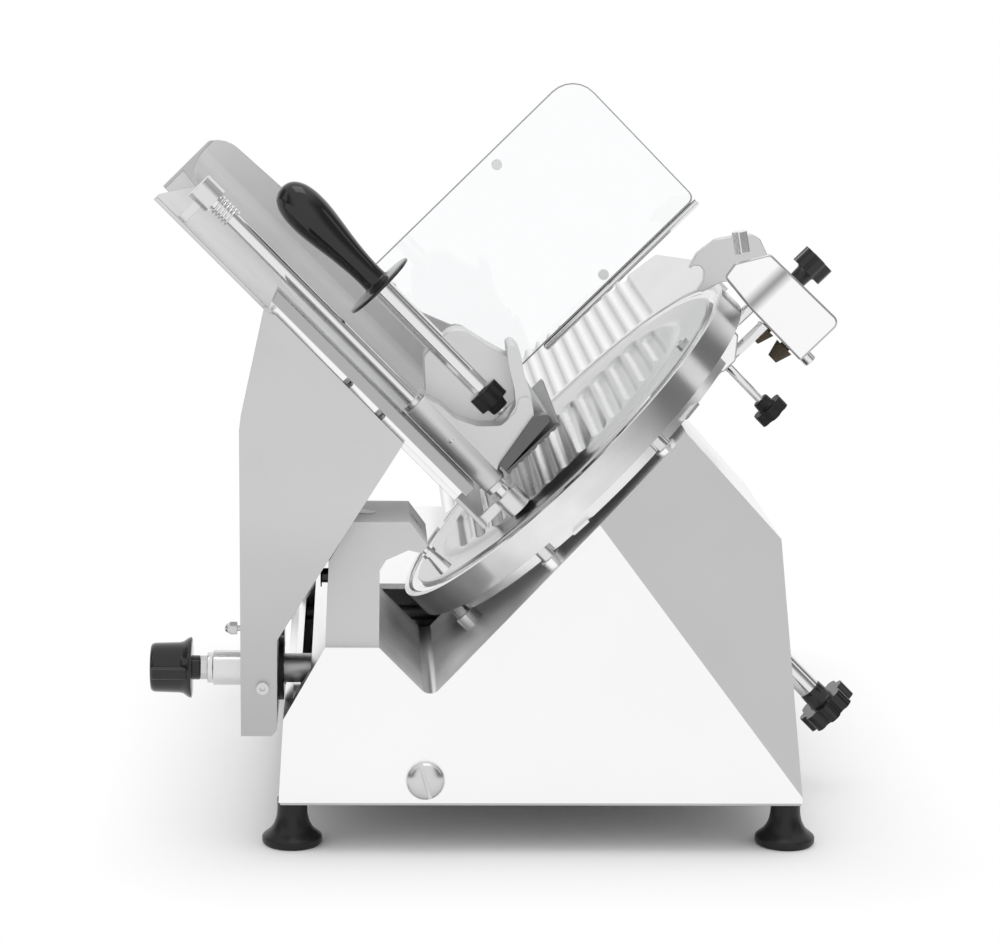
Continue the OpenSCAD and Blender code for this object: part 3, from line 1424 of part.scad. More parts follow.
base_casting();
base_plate();
feet();
foot_screws();
guide_rod();
guide_rod_caps();
roller_rail();
ring_guard();
slice_deflector();
blade_cover();
cover_screws();
cover_stop_pin();
hub_housing();
hub_bearings();
motor_body();
motor_bracket();
motor_screws();
drive_belt();
gauge_bush();
clamp_block();
switch_body();
cable_gland();
blade();
blade_hub();
blade_screws();
driven_pulley();
motor_pulley();
tie_rod();
tie_rod_knob();
start_button();
stop_button();
gauge_plate();
gauge_shaft();
thickness_dial();
thickness_cam();
carriage_arm();
slider_block();
slider_bushes();
arm_fasteners();
arm_washer();
food_table();
table_rail();
pusher_rod();
rod_caps();
rod_spring();
hand_guard();
guard_rail();
lock_sleeve();
rail_roller();
lock_knob();
pusher_bushes();
pusher_casting();
grip_plate();
handle_rod();
hand_grip();
pusher_knob();
sharpener_body();
grinding_stones();
sharpener_knob();
clamp_knob();
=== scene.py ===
import bpy
import bmesh
import json
import math
from mathutils import Matrix, Vector


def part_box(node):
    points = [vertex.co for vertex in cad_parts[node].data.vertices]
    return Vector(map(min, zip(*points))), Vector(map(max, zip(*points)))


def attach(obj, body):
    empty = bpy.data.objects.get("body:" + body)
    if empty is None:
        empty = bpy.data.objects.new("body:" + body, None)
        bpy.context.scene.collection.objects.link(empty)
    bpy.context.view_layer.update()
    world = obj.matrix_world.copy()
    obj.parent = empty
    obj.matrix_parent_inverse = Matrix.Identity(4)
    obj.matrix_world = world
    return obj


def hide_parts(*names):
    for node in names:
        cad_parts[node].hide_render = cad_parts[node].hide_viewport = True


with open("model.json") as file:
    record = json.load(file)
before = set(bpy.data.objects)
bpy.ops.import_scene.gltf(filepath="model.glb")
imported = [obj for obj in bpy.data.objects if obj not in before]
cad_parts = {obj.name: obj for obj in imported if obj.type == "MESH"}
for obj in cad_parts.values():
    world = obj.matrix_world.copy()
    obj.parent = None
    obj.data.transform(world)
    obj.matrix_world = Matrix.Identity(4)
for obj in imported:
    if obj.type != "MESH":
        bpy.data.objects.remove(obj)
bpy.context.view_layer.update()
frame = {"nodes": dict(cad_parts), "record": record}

# Sizes and places are in millimetres from the blade's centre. X runs from the operator's side to the
# slice side, Y along the carriage travel and Z up. On the slope, u runs up the blade, y along the travel
# and w out of the blade's face, towards the food. An outline's point may end with its corner's radius.
METRE = 1000.0
MID_X = -35.843
MID_Y = 143.25
BASE_DROP = 226.0
FOOT_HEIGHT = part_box("base_plate")[0][2] * METRE
BLADE_HEIGHT = FOOT_HEIGHT + BASE_DROP
LOCK_HEIGHT = sum(corner[2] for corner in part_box("lock_knob")) / 2 * METRE - BLADE_HEIGHT

# The casting: where its turret and trough end, for their painted shade, painted light and painted reflection
# patches
TURRET_SIDE = (-131.0, -73.0, -116.0)
TURRET_SKIRT = 4.0
TURRET_REACH = 40.0
TURRET_SHOULDER = 50.0
TROUGH_END_X = 69.0

# How wide the edges of the solids are broken, the band of painted shade at the guard's sawn edge, and how
# near points are merged
CASTING_EDGE = 1.2
EDGE_WIDTHS = {
    "carriage_arm": 1.0, "rod_caps": 0.6, "lock_sleeve": 0.5, "table_rail": 0.5, "food_table": 0.6,
    "ring_guard": 0.5, "guide_rod_caps": 0.4, "arm_fasteners": 0.3, "base_plate": 0.4, "stop_button": 0.8,
    "start_button": 0.6, "cable_gland": 0.5, "arm_washer": 0.4, "thickness_dial": 0.8,
    "grinding_stones": 0.3,
}
PIECE_EDGES = {
    "lock_knob_form": 0.7, "lock_stud": 0.4, "sharpener_house": 1.6, "sharpener_hood": 1.2,
    "sharpener_fittings": 0.5, "clamp_block_form": 1.2, "pusher_casting_form": 2.2, "pusher_back": 1.2,
    "grip_plate_form": 0.4,
}
GUARD_RAIL_EDGE = 0.3
GUARD_PAINTED_SHADE_BAND = 0.9
GUARD_BUTTON_W = 39.5
MERGE_GAP = 0.015
SEAM_GAP = 0.001

# Where painted shade darkens finishes along an axis, from and to
ARM_PAINTED_SHADE = (-20.0, -190.0)
ARM_LIP_PAINTED_SHADE = (-223.5, -229.0)
RAIL_PAINTED_SHADE = (-61.2, -60.4)
SHARPENER_PAINTED_BAND = (-29.0, -22.5, -21.0, -14.0)

# Handle and grip
HANDLE_U = -8.0
HANDLE_Y = -96.0
GRIP_W = 178.0
GRIP_BORE = 7.6
DISC_PROFILE = [(25.0, 0.0), (25.9, 0.5), (26.0, 1.3), (25.4, 2.1), (23.0, 2.7), (17.0, 3.2), (12.0, 3.7),
                (9.9, 4.4)]
PALM_PROFILE = [(8.9, 5.2), (8.8, 10), (8.9, 16), (9.6, 26), (11.0, 38), (12.8, 50), (14.2, 61), (14.6, 69),
                (14.2, 77), (12.6, 84), (9.6, 89.5), (6.2, 92.4), (3.0, 93.6), (0.0, 94.0)]

# Star knobs: what their heads share
LOBE_DEPTH_SHARE = 0.17
LOBE_SHARPNESS = 2.4
LOBE_FULLNESS = 0.25
KNOB_FACE_SHARE = 0.5
KNOB_DISH_SHARE = 0.42
KNOB_FACE_RISE = 0.5
KNOB_FACE_STEP = 0.1
KNOB_FACE_FALL = 0.3
KNOB_EDGE = 1.0
COLLAR_EDGE = 0.6
COLLAR_TAPER = 0.4
COLLAR_FLARE = 1.6
COLLAR_FLARE_LENGTH = 1.2
COLLAR_OVERLAP = 0.2
PUSHER_KNOB_AT = (HANDLE_U, HANDLE_Y, 68.0)
TIE_KNOB_AT = (0.0, 0.0, -270.0)
PRESS_KNOB_AT = (206.0, 20.0, -38.0)
ROD_BORE = 5.05
TIE_ROD_BORE = 5.0
CLAMP_AT = (120.0, -9.0, -83.0)
CLAMP_SCREW_PROFILE = [(0.0, -45.0), (2.6, -45.0), (3.0, -44.4), (3.0, 0.5), (0.0, 0.5)]

# Lock knob and its stud
LOCK_X = -287.0
LOCK_STUD_X = -246.6
LOCK_Y = -95.0
LOCK_CAP_PROFILE = [(0.0, 0.0), (11.0, 0.0), (15.2, 0.5), (16.4, 1.6), (16.9, 3.5), (17.4, 20.5),
                    (18.2, 23.0), (20.2, 25.6), (20.9, 27.2), (20.9, 28.2), (19.4, 28.6), (8.4, 28.6),
                    (8.4, 33.6), (7.9, 34.2), (0.0, 34.2)]
LOCK_RIB = [(-4.6, 11), (-4.6, 17.4), (-3.2, 20.4), (3.2, 20.4), (4.6, 17.4), (4.6, 11)]
LOCK_RIB_SPAN = (2.0, 25.4)
LOCK_NUT_R = 8.2
LOCK_NUT_TURN = 0.25
LOCK_NUT_SPAN = (-6.0, 0.6)
LOCK_RING_PROFILE = [(5.0, 0.2), (6.6, 0.2), (6.6, 5.4), (5.0, 5.4)]
LOCK_STUD_R = 4.95
LOCK_STUD_SPAN = (-2.0, 42.0)

# Pusher rod's spring
ROD_U = -44.5
ROD_Y = -118.0
SPRING_W = 280.6
SPRING_R = 6.4
SPRING_LENGTH = 15.3
SPRING_TURNS = 5.5
SPRING_STEPS = 176
WIRE_R = 0.72

# Feet
FEET_X = (-189.0, 149.0)
FEET_Y = (-130.0, 310.0)
FOOT_TOP_R = 10.0
FOOT_SIDE = [(10.3, -0.2), (10.2, -3.0), (10.2, -7.5), (10.6, -12.0), (12.0, -17.0), (14.6, -21.4),
             (18.0, -24.4), (20.2, -26.4), (20.5, -28.4)]
FOOT_RIM = [(20.3, 1.6), (19.0, 0.0)]
FOOT_HOLLOW = [(6.0, 0.0), (5.6, 0.6), (5.6, 11.8), (0.0, 11.8)]

# Blade cover
COVER_R = 143.0
COVER_SHIFT = 15.0
COVER_W = 0.7
COVER_RIM = 2.0
COVER_RISE = 3.4
COVER_ROLL = (0.9, 1.4)
COVER_BASE = 3.0
FIELD_Y = -13.0
FIELD_STEP = (108.0, 121.0)
FLUTED_R = 112.0
FLUTED_MARGIN = 14.0
FLUTED_HIGH_Y = 54.0
COVER_PITCH = 15.5
COVER_FLUTES_EACH_SIDE = 6
COVER_FLUTE = (7.2, 3.3)
COVER_FLUTE_ENDS = (6.0, 10.0)
COVER_FLUTE_TAPER = 0.42
COVER_BOSS = [(ROD_BORE, 1.0), (7.0, 1.0), (7.0, -14.0), (ROD_BORE, -14.0)]
COVER_GRID = 250

# Gauge plate: its far edge runs through these places, and its near edge follows the blade
GAUGE_FAR_EDGE = [(158.0, 135.0), (134.0, 320.0), (-5.0, 445.0), (-115.0, 445.0)]
GAUGE_NEAR_R = 154.0
GAUGE_NEAR_STOP = (152.1, 24.09)
GAUGE_ROLL = (0.8, 1.3)
GAUGE_FACE = 0.3
GAUGE_BACK = -8.7
GAUGE_BASE = -4.0
GAUGE_FIRST_FLUTE = -107.0
GAUGE_PITCH = 12.2
GAUGE_FLUTES = 18
GAUGE_FLUTE = (5.7, 3.4)
GAUGE_FLUTE_START = 13.0
GAUGE_BLOCK = [(-100, 182), (-60, 182), (-60, 218), (-100, 218)]
GAUGE_BLOCK_LOW = -35.0
GAUGE_GRID = (290, 230)
SLOPE_REACH = 0.7

# Blade
BLADE_PROFILE = [(20.0, -8.0), (122.0, -8.0), (128.0, -6.0), (146.0, -3.0), (149.9, -0.7), (150.0, -0.2),
                 (149.9, 0.0), (146.4, -0.02), (146.0, -0.3), (129.0, -3.4), (123.0, -4.5), (20.0, -4.5)]

# Sharpener and its clamp block
HOUSE_OUTLINE = [(162, 6, 3), (174, 8, 4), (196.5, -5, 5), (199, -75.5, 6), (159.5, -75.5, 2),
                 (159.5, -26, 3)]
HOUSE_SPAN = (-14.0, 34.0)
HOOD_OUTLINE = [(146.7, 27.6, 0.8), (152.5, 26.8, 1.5), (155.2, 23.2, 2), (154.6, 18.8, 2), (149.5, 14.2, 2),
                (141.6, 12.4, 0.8), (143.7, 9.0, 1), (157.5, 5.0, 2), (172, -6, 1), (193.0, -8, 1),
                (198.4, 7.5, 4), (196.6, 14.0, 5), (184.9, 23.2, 8), (175.4, 29.4, 8), (159.6, 31.4, 6)]
HOOD_SPAN = (-13.2, -5.0)
STEM_R = 4.0
STEM_LOW = 100.0
STEMS = ((-25.0, 165.0), (-41.0, 159.0))
PRESS_BUTTON_U = 164.5
PRESS_BUTTON_PROFILE = [(0.0, 68.0), (4.9, 68.0), (4.9, 83.0), (4.3, 83.8), (0.0, 83.8)]
HOOD_BOLT_AT = (187.5, -11.0, 15.5)
HOOD_BOLT_R = 6.3
HOOD_BOLT_TURN = 0.3
HOOD_BOLT_SPAN = (-8.0, 7.5)
HOOD_BOLT_LEAN = -10.0
CLAMP_OUTLINE = [(113.5, -31, 2), (118, -20.5, 3), (139, -17.5, 3), (141, -31, 3), (127, -43, 3),
                 (113.5, -43, 3)]
CLAMP_SPAN = (-14.0, 14.0)

# Pusher casting and grip plate
TUBE_PROFILE = [(8.6, 31.9), (8.9, 32.4), (9.0, 34.0), (9.0, 106.5), (8.6, 107.6), (5.4, 107.6), (5.4, 31.9),
                (8.6, 31.9)]
HANDLE_BOSS_PROFILE = [(6.0, 44.0), (11.0, 44.0), (11.0, 59.2), (10.2, 60.0), (6.0, 60.0), (6.0, 44.0)]
WEB_OUTLINE = [(-44, 33, 0), (-34, 39.3, 2), (6.5, 46.3, 4), (14, 58, 9), (8, 62, 3), (5.4, 60.5, 3),
               (-1, 56.8, 4), (-14, 57.2, 6), (-25, 67.5, 8), (-32.6, 81.8, 9), (-33.4, 96, 6),
               (-37.5, 107.4, 2), (-44, 107.4, 0)]
WEB_SPAN = (-123.0, -100.0)
EAR_OUTLINE = [(-8, 46, 0), (6.5, 46.3, 3), (15, 58, 9), (22.0, 72.0, 9), (30.0, 84.0, 4), (30.0, 90.5, 3),
               (26.0, 92.5, 3), (19, 84, 8), (10, 69, 8), (3, 60.0, 8), (-8, 57.0, 2)]
EAR_SPAN = (-121.5, -81.0)
BACK_OUTLINE = [(-44, 33, 0), (11, 33, 3), (15.5, 56, 9), (22, 80, 9), (16, 100, 10), (10, 125, 12),
                (-20, 125, 6), (-36, 107, 4), (-44, 107, 0)]
BACK_SPAN = (-100.0, -78.2)
SET_SCREW_W = 74.0
SET_SCREW_PROFILE = [(0.0, -127.1), (1.5, -127.1), (2.0, -126.7), (2.0, -124.0), (0.0, -124.0)]
GRIP_PLATE_U = (-33.0, 15.0)
GRIP_PLATE_TOP = 33.0
GROOVE_LAND = 30.2
GROOVE_TOP = 31.2
GROOVE_PITCH = 6.0
GROOVE_HALF = 2.0
GROOVES = 8
GRIP_PLATE_Y = (-125.5, 60.0)
GRIP_LIP = [(-33, 33, 0.5), (12, 36.5, 1), (14.5, 41, 2), (6, 47, 1), (-33, 39.7, 1)]
GRIP_LIP_END = -114.0

# Camera, in degrees and millimetres
CAMERA_AT = (-150.55, -2167.5, 387.29)
CAMERA_TURN = 2.8
CAMERA_PITCH = 10.7
CAMERA_ROLL = 0.9
CAMERA_LENS = 111.6
CAMERA_SENSOR = 36.0

HALF = math.sqrt(0.5)
SLOPE = Matrix.Rotation(math.radians(-45), 4, "Y")
NORMAL_OUT = SLOPE.to_3x3() @ Vector((0, 0, 1))
UP_THE_BLADE = SLOPE.to_3x3() @ Vector((1, 0, 0))
MM = Matrix.Scale(1 / METRE, 4)

# Turns of a pattern, in degrees
LEVEL = (0.0, 0.0, 0.0)
UP_SLOPE = (0.0, 45.0, 0.0)
DOWN_SLOPE = (0.0, -45.0, 0.0)
UPRIGHT = (0.0, 90.0, 0.0)
ACROSS = (0.0, 0.0, 90.0)


def place(x, y, z):
    """A point of the machine, in metres from the floor's centre."""
    return Vector(((x - MID_X) / METRE, (y - MID_Y) / METRE, (z + BLADE_HEIGHT) / METRE))


def on_slope(u, y, w):
    """A point by its place up the blade, along the travel and out of the blade."""
    return place((u - w) * HALF, y, (u + w) * HALF)


def blade_spot(u, y, w):
    """The blade's frame moved to a spot given in millimetres."""
    return Matrix.Translation(on_slope(u, y, w)) @ SLOPE


def axis_frame(at, direction):
    """A frame at a place whose Z looks along a direction."""
    return Matrix.Translation(at) @ Vector(direction).to_track_quat("Z", "Y").to_matrix().to_4x4()


BLADE_CENTRE = Matrix.Translation(place(0, 0, 0))
BLADE_FRAME = BLADE_CENTRE @ SLOPE


# Shader nodes

def colour(value, tint=(1.0, 1.0, 1.0)):
    return (value * tint[0], value * tint[1], value * tint[2], 1.0)


def feed(tree, socket, value):
    """Links a node's output to a socket, or sets the socket to a number or colour."""
    if hasattr(value, "is_output"):
        tree.links.new(value, socket)
    else:
        socket.default_value = value


def math_node(tree, operation, *values):
    node = tree.nodes.new("ShaderNodeMath")
    node.operation = operation
    for socket, value in zip(node.inputs, values):
        feed(tree, socket, value)
    return node.outputs[0]


def times(tree, a, b):
    return math_node(tree, "MULTIPLY", a, b)


def plus(tree, a, b):
    return math_node(tree, "ADD", a, b)


def minus(tree, a, b):
    return math_node(tree, "SUBTRACT", a, b)


def larger(tree, a, b):
    return math_node(tree, "MAXIMUM", a, b)


def noise_node(tree, vector, scale, detail, rough):
    node = tree.nodes.new("ShaderNodeTexNoise")
    node.inputs["Scale"].default_value = scale
    node.inputs["Detail"].default_value = detail
    node.inputs["Roughness"].default_value = rough
    tree.links.new(vector, node.inputs["Vector"])
    return node.outputs["Fac"]


def range_node(tree, value, low, high, to_low=0.0, to_high=1.0):
    """Spreads the values from low to high over a new range, from 0 to 1 unless told otherwise."""
    node = tree.nodes.new("ShaderNodeMapRange")
    for key, number in (("Value", value), ("From Min", low), ("From Max", high),
                        ("To Min", to_low), ("To Max", to_high)):
        feed(tree, node.inputs[key], number)
    return node.outputs["Result"]


def clamp_node(tree, value):
    node = tree.nodes.new("ShaderNodeClamp")
    tree.links.new(value, node.inputs["Value"])
    return node.outputs[0]


def mix_colour(tree, factor, a, b):
    node = tree.nodes.new("ShaderNodeMix")
    node.data_type = "RGBA"
    for socket, value in ((node.inputs["Factor"], factor), (node.inputs["A"], a), (node.inputs["B"], b)):
        feed(tree, socket, value)
    return node.outputs["Result"]


def mix_shaders(tree, factor, first, second, output):
    """Mixes two shaders and sends the result to the output node's surface."""
    mix = tree.nodes.new("ShaderNodeMixShader")
    tree.links.new(factor, mix.inputs[0])
    tree.links.new(first.outputs[0], mix.inputs[1])
    tree.links.new(second.outputs[0], mix.inputs[2])
    tree.links.new(mix.outputs[0], tree.nodes[output].inputs["Surface"])


def bump_node(tree, height, strength, distance):
    node = tree.nodes.new("ShaderNodeBump")
    node.inputs["Strength"].default_value = strength
    node.inputs["Distance"].default_value = distance
    tree.links.new(height, node.inputs["Height"])
    return node.outputs["Normal"]


def stretched(tree, vector, by):
    node = tree.nodes.new("ShaderNodeVectorMath")
    node.operation = "MULTIPLY"
    node.inputs[1].default_value = by
    tree.links.new(vector, node.inputs[0])
    return node.outputs[0]


def axes_of(tree, vector):
    parts = tree.nodes.new("ShaderNodeSeparateXYZ")
    tree.links.new(vector, parts.inputs[0])
    return parts.outputs


def mapped(tree, centre, turn):
    """Object coordinates, centred and turned."""
    coordinate = tree.nodes.new("ShaderNodeTexCoord")
    mapping = tree.nodes.new("ShaderNodeMapping")
    mapping.vector_type = "TEXTURE"
    mapping.inputs["Location"].default_value = centre
    mapping.inputs["Rotation"].default_value = [math.radians(a) for a in turn]
    tree.links.new(coordinate.outputs["Object"], mapping.inputs["Vector"])
    return mapping.outputs["Vector"]


# Shader groups

def new_group(name, inputs):
    """A shader group with the named inputs, which puts out a colour, a roughness and a height."""
    group = bpy.data.node_groups.new(name, "ShaderNodeTree")
    group.interface.new_socket("Vector", in_out="INPUT", socket_type="NodeSocketVector")
    for label, value in inputs.items():
        kind = "NodeSocketColor" if isinstance(value, tuple) else "NodeSocketFloat"
        socket = group.interface.new_socket(label, in_out="INPUT", socket_type=kind)
        socket.default_value = value
    group.interface.new_socket("Colour", in_out="OUTPUT", socket_type="NodeSocketColor")
    for label in ("Roughness", "Height"):
        group.interface.new_socket(label, in_out="OUTPUT", socket_type="NodeSocketFloat")
    enter = group.nodes.new("NodeGroupInput")
    leave = group.nodes.new("NodeGroupOutput")
    return group, enter.outputs, leave.inputs


def brushed_group():
    """Long fine lines, soft clouds and a few handling marks, for brushed and cast metal."""
    group, enter, leave = new_group("brushed_metal", {
        "Colour": colour(0.8), "Dull Colour": colour(0.7), "Roughness": 0.3, "Grain": 0.3,
        "Clouds": 0.2, "Marks": 0.2})
    vector = enter["Vector"]
    fine = noise_node(group, stretched(group, vector, (1.0, 60.0, 60.0)), scale=28.0, detail=2.0, rough=0.6)
    coarse = noise_node(group, stretched(group, vector, (1.0, 14.0, 14.0)), scale=9.0, detail=3.0, rough=0.6)
    clouds = noise_node(group, vector, scale=7.0, detail=3.0, rough=0.55)
    smudges = noise_node(group, vector, scale=31.0, detail=5.0, rough=0.65)
    fine_share, coarse_share = 0.65, 0.35
    lines = plus(group, times(group, fine, fine_share), times(group, coarse, coarse_share))
    swing = minus(group, lines, 0.5)
    cloudy = range_node(group, clouds, 0.35, 0.68)
    marked = range_node(group, smudges, 0.56, 0.72)
    tone = plus(group, times(group, enter["Clouds"], cloudy), times(group, enter["Grain"], swing))
    group.links.new(mix_colour(group, clamp_node(group, tone), enter["Colour"], enter["Dull Colour"]),
                    leave["Colour"])
    mark_roughness, grain_roughness = 0.18, 0.35
    rough = plus(group, enter["Roughness"],
                 times(group, times(group, marked, enter["Marks"]), mark_roughness))
    rough = plus(group, rough, times(group, swing, times(group, enter["Grain"], grain_roughness)))
    group.links.new(rough, leave["Roughness"])
    group.links.new(lines, leave["Height"])
    return group


def turned_group():
    """Rings about the local Z axis, as a lathe or a ground blade leaves them."""
    group, enter, leave = new_group("turned_metal", {
        "Colour": colour(0.8), "Dull Colour": colour(0.65), "Roughness": 0.2, "Rings": 0.3})
    x, y, z = axes_of(group, enter["Vector"])
    radius = math_node(group, "SQRT", plus(group, times(group, x, x), times(group, y, y)))
    ring = group.nodes.new("ShaderNodeCombineXYZ")
    height_share, cloud_strength = 0.6, 0.12
    group.links.new(radius, ring.inputs[0])
    group.links.new(times(group, z, height_share), ring.inputs[1])
    lines = noise_node(group, ring.outputs[0], scale=1500.0, detail=3.0, rough=0.6)
    broad = noise_node(group, enter["Vector"], scale=18.0, detail=3.0, rough=0.5)
    tone = plus(group, times(group, minus(group, lines, 0.35), enter["Rings"]),
                times(group, range_node(group, broad, 0.4, 0.7), cloud_strength))
    group.links.new(mix_colour(group, clamp_node(group, tone), enter["Colour"], enter["Dull Colour"]),
                    leave["Colour"])
    rough = plus(group, enter["Roughness"], times(group, minus(group, lines, 0.5), enter["Rings"]))
    group.links.new(rough, leave["Roughness"])
    group.links.new(lines, leave["Height"])
    return group


def moulded_group():
    """Faint orange peel, dust in patches and small scuffs, for moulded plastic and rubber."""
    group, enter, leave = new_group("moulded_plastic", {
        "Colour": colour(0.02), "Dust Colour": colour(0.08), "Roughness": 0.2, "Dust": 0.2,
        "Texture Size": 900.0})
    peel = group.nodes.new("ShaderNodeTexNoise")
    peel.inputs["Detail"].default_value = 3.0
    group.links.new(enter["Texture Size"], peel.inputs["Scale"])
    group.links.new(enter["Vector"], peel.inputs["Vector"])
    dusty = noise_node(group, enter["Vector"], scale=45.0, detail=5.0, rough=0.65)
    patches = range_node(group, dusty, 0.45, 0.75)
    patch_roughness = 0.12
    group.links.new(mix_colour(group, times(group, patches, enter["Dust"]), enter["Colour"],
                               enter["Dust Colour"]), leave["Colour"])
    group.links.new(plus(group, enter["Roughness"], times(group, patches, patch_roughness)),
                    leave["Roughness"])
    group.links.new(peel.outputs["Fac"], leave["Height"])
    return group


BRUSHED = brushed_group()
TURNED = turned_group()
MOULDED = moulded_group()


# Finishes

def start_material(name, group, values, centre=(0.0, 0.0, 0.0), turn=LEVEL):
    """A material with one of the groups placed in it, ready to feed its Principled shader."""
    material = bpy.data.materials.new(name)
    material.use_nodes = True
    tree = material.node_tree
    node = tree.nodes.new("ShaderNodeGroup")
    node.node_tree = group
    tree.links.new(mapped(tree, centre, turn), node.inputs["Vector"])
    for key, value in values.items():
        node.inputs[key].default_value = value
    return material, tree, tree.nodes["Principled BSDF"], node


def dress(tree, shader, node, bump, depth):
    """Feeds a group's colour, roughness and height to the shader."""
    tree.links.new(node.outputs["Colour"], shader.inputs["Base Color"])
    tree.links.new(node.outputs["Roughness"], shader.inputs["Roughness"])
    tree.links.new(bump_node(tree, node.outputs["Height"], bump, depth), shader.inputs["Normal"])


def brushed_metal(name, tone, dull, roughness, grain, clouds, marks, bump,
                  turn=LEVEL, tint=(1.0, 1.0, 1.0), metallic=1.0):
    material, tree, shader, node = start_material(name, BRUSHED, {
        "Colour": colour(tone, tint), "Dull Colour": colour(dull, tint), "Roughness": roughness,
        "Grain": grain, "Clouds": clouds, "Marks": marks}, turn=turn)
    dress(tree, shader, node, bump, depth=0.001)
    shader.inputs["Metallic"].default_value = metallic
    return material


def ground_blade(name, tone, dull, roughness, rings, bump):
    """Ground steel with its rings about the blade's own axis."""
    material, tree, shader, node = start_material(name, TURNED, {
        "Colour": colour(tone), "Dull Colour": colour(dull), "Roughness": roughness, "Rings": rings},
        centre=tuple(place(0, 0, 0)), turn=DOWN_SLOPE)
    dress(tree, shader, node, bump, depth=0.0004)
    shader.inputs["Metallic"].default_value = 1.0
    return material


def fluted(name, tone, dull, roughness):
    """Brushed sheet with painted shade on one side of each flute and a painted highlight on the other."""
    material, tree, shader, node = start_material(name, BRUSHED, {
        "Colour": colour(tone), "Dull Colour": colour(dull), "Roughness": roughness,
        "Grain": 0.14, "Clouds": 0.35, "Marks": 0.25}, turn=ACROSS)
    dress(tree, shader, node, bump=0.02, depth=0.001)
    # Painted shade on the side of each flute that rises up the slope, painted highlight on the side that
    # falls.
    steep = tree.nodes.new("ShaderNodeAttribute")
    steep.attribute_name = "slope"
    flute_painted_shade = range_node(tree, steep.outputs["Fac"], 0.1, 0.9, to_high=0.75)
    flute_painted_highlight = range_node(tree, steep.outputs["Fac"], -0.2, -0.9, to_high=0.9)
    painted_shade_tone, painted_highlight_tone = tone * 0.30, 0.98
    with_painted_shade = mix_colour(tree, flute_painted_shade, node.outputs["Colour"], colour(painted_shade_tone))
    tree.links.new(mix_colour(tree, flute_painted_highlight, with_painted_shade, colour(painted_highlight_tone)), shader.inputs["Base Color"])
    shader.inputs["Metallic"].default_value = 1.0
    return material


def moulded(name, tone, dusty, roughness, dust, size, bump, coat=0.0, tint=(1.0, 1.0, 1.0)):
    material, tree, shader, node = start_material(name, MOULDED, {
        "Colour": colour(tone, tint), "Dust Colour": colour(dusty, tint), "Roughness": roughness,
        "Dust": dust, "Texture Size": size})
    dress(tree, shader, node, bump, depth=0.0003)
    shader.inputs["Coat Weight"].default_value = coat
    shader.inputs["Coat Roughness"].default_value = 0.05
    shader.inputs["Specular IOR Level"].default_value = 0.3
    return material


def clear_plastic(name):
    """Clear sheet that throws only a faint shadow, with a few fine wipe marks."""
    material, tree, shader, node = start_material(name, MOULDED, {
        "Colour": (0.97, 0.985, 0.99, 1.0), "Dust Colour": (0.90, 0.93, 0.94, 1.0),
        "Roughness": 0.0, "Dust": 0.15, "Texture Size": 60.0}, turn=UP_SLOPE)
    tree.links.new(node.outputs["Colour"], shader.inputs["Base Color"])
    shader.inputs["Roughness"].default_value = 0.0
    shader.inputs["Transmission Weight"].default_value = 1.0
    shader.inputs["IOR"].default_value = 1.45
    faint = tree.nodes.new("ShaderNodeBsdfTransparent")
    faint.inputs["Color"].default_value = (0.93, 0.94, 0.95, 1.0)
    path = tree.nodes.new("ShaderNodeLightPath")
    mix_shaders(tree, path.outputs["Is Shadow Ray"], shader, faint, "Material Output")
    return material


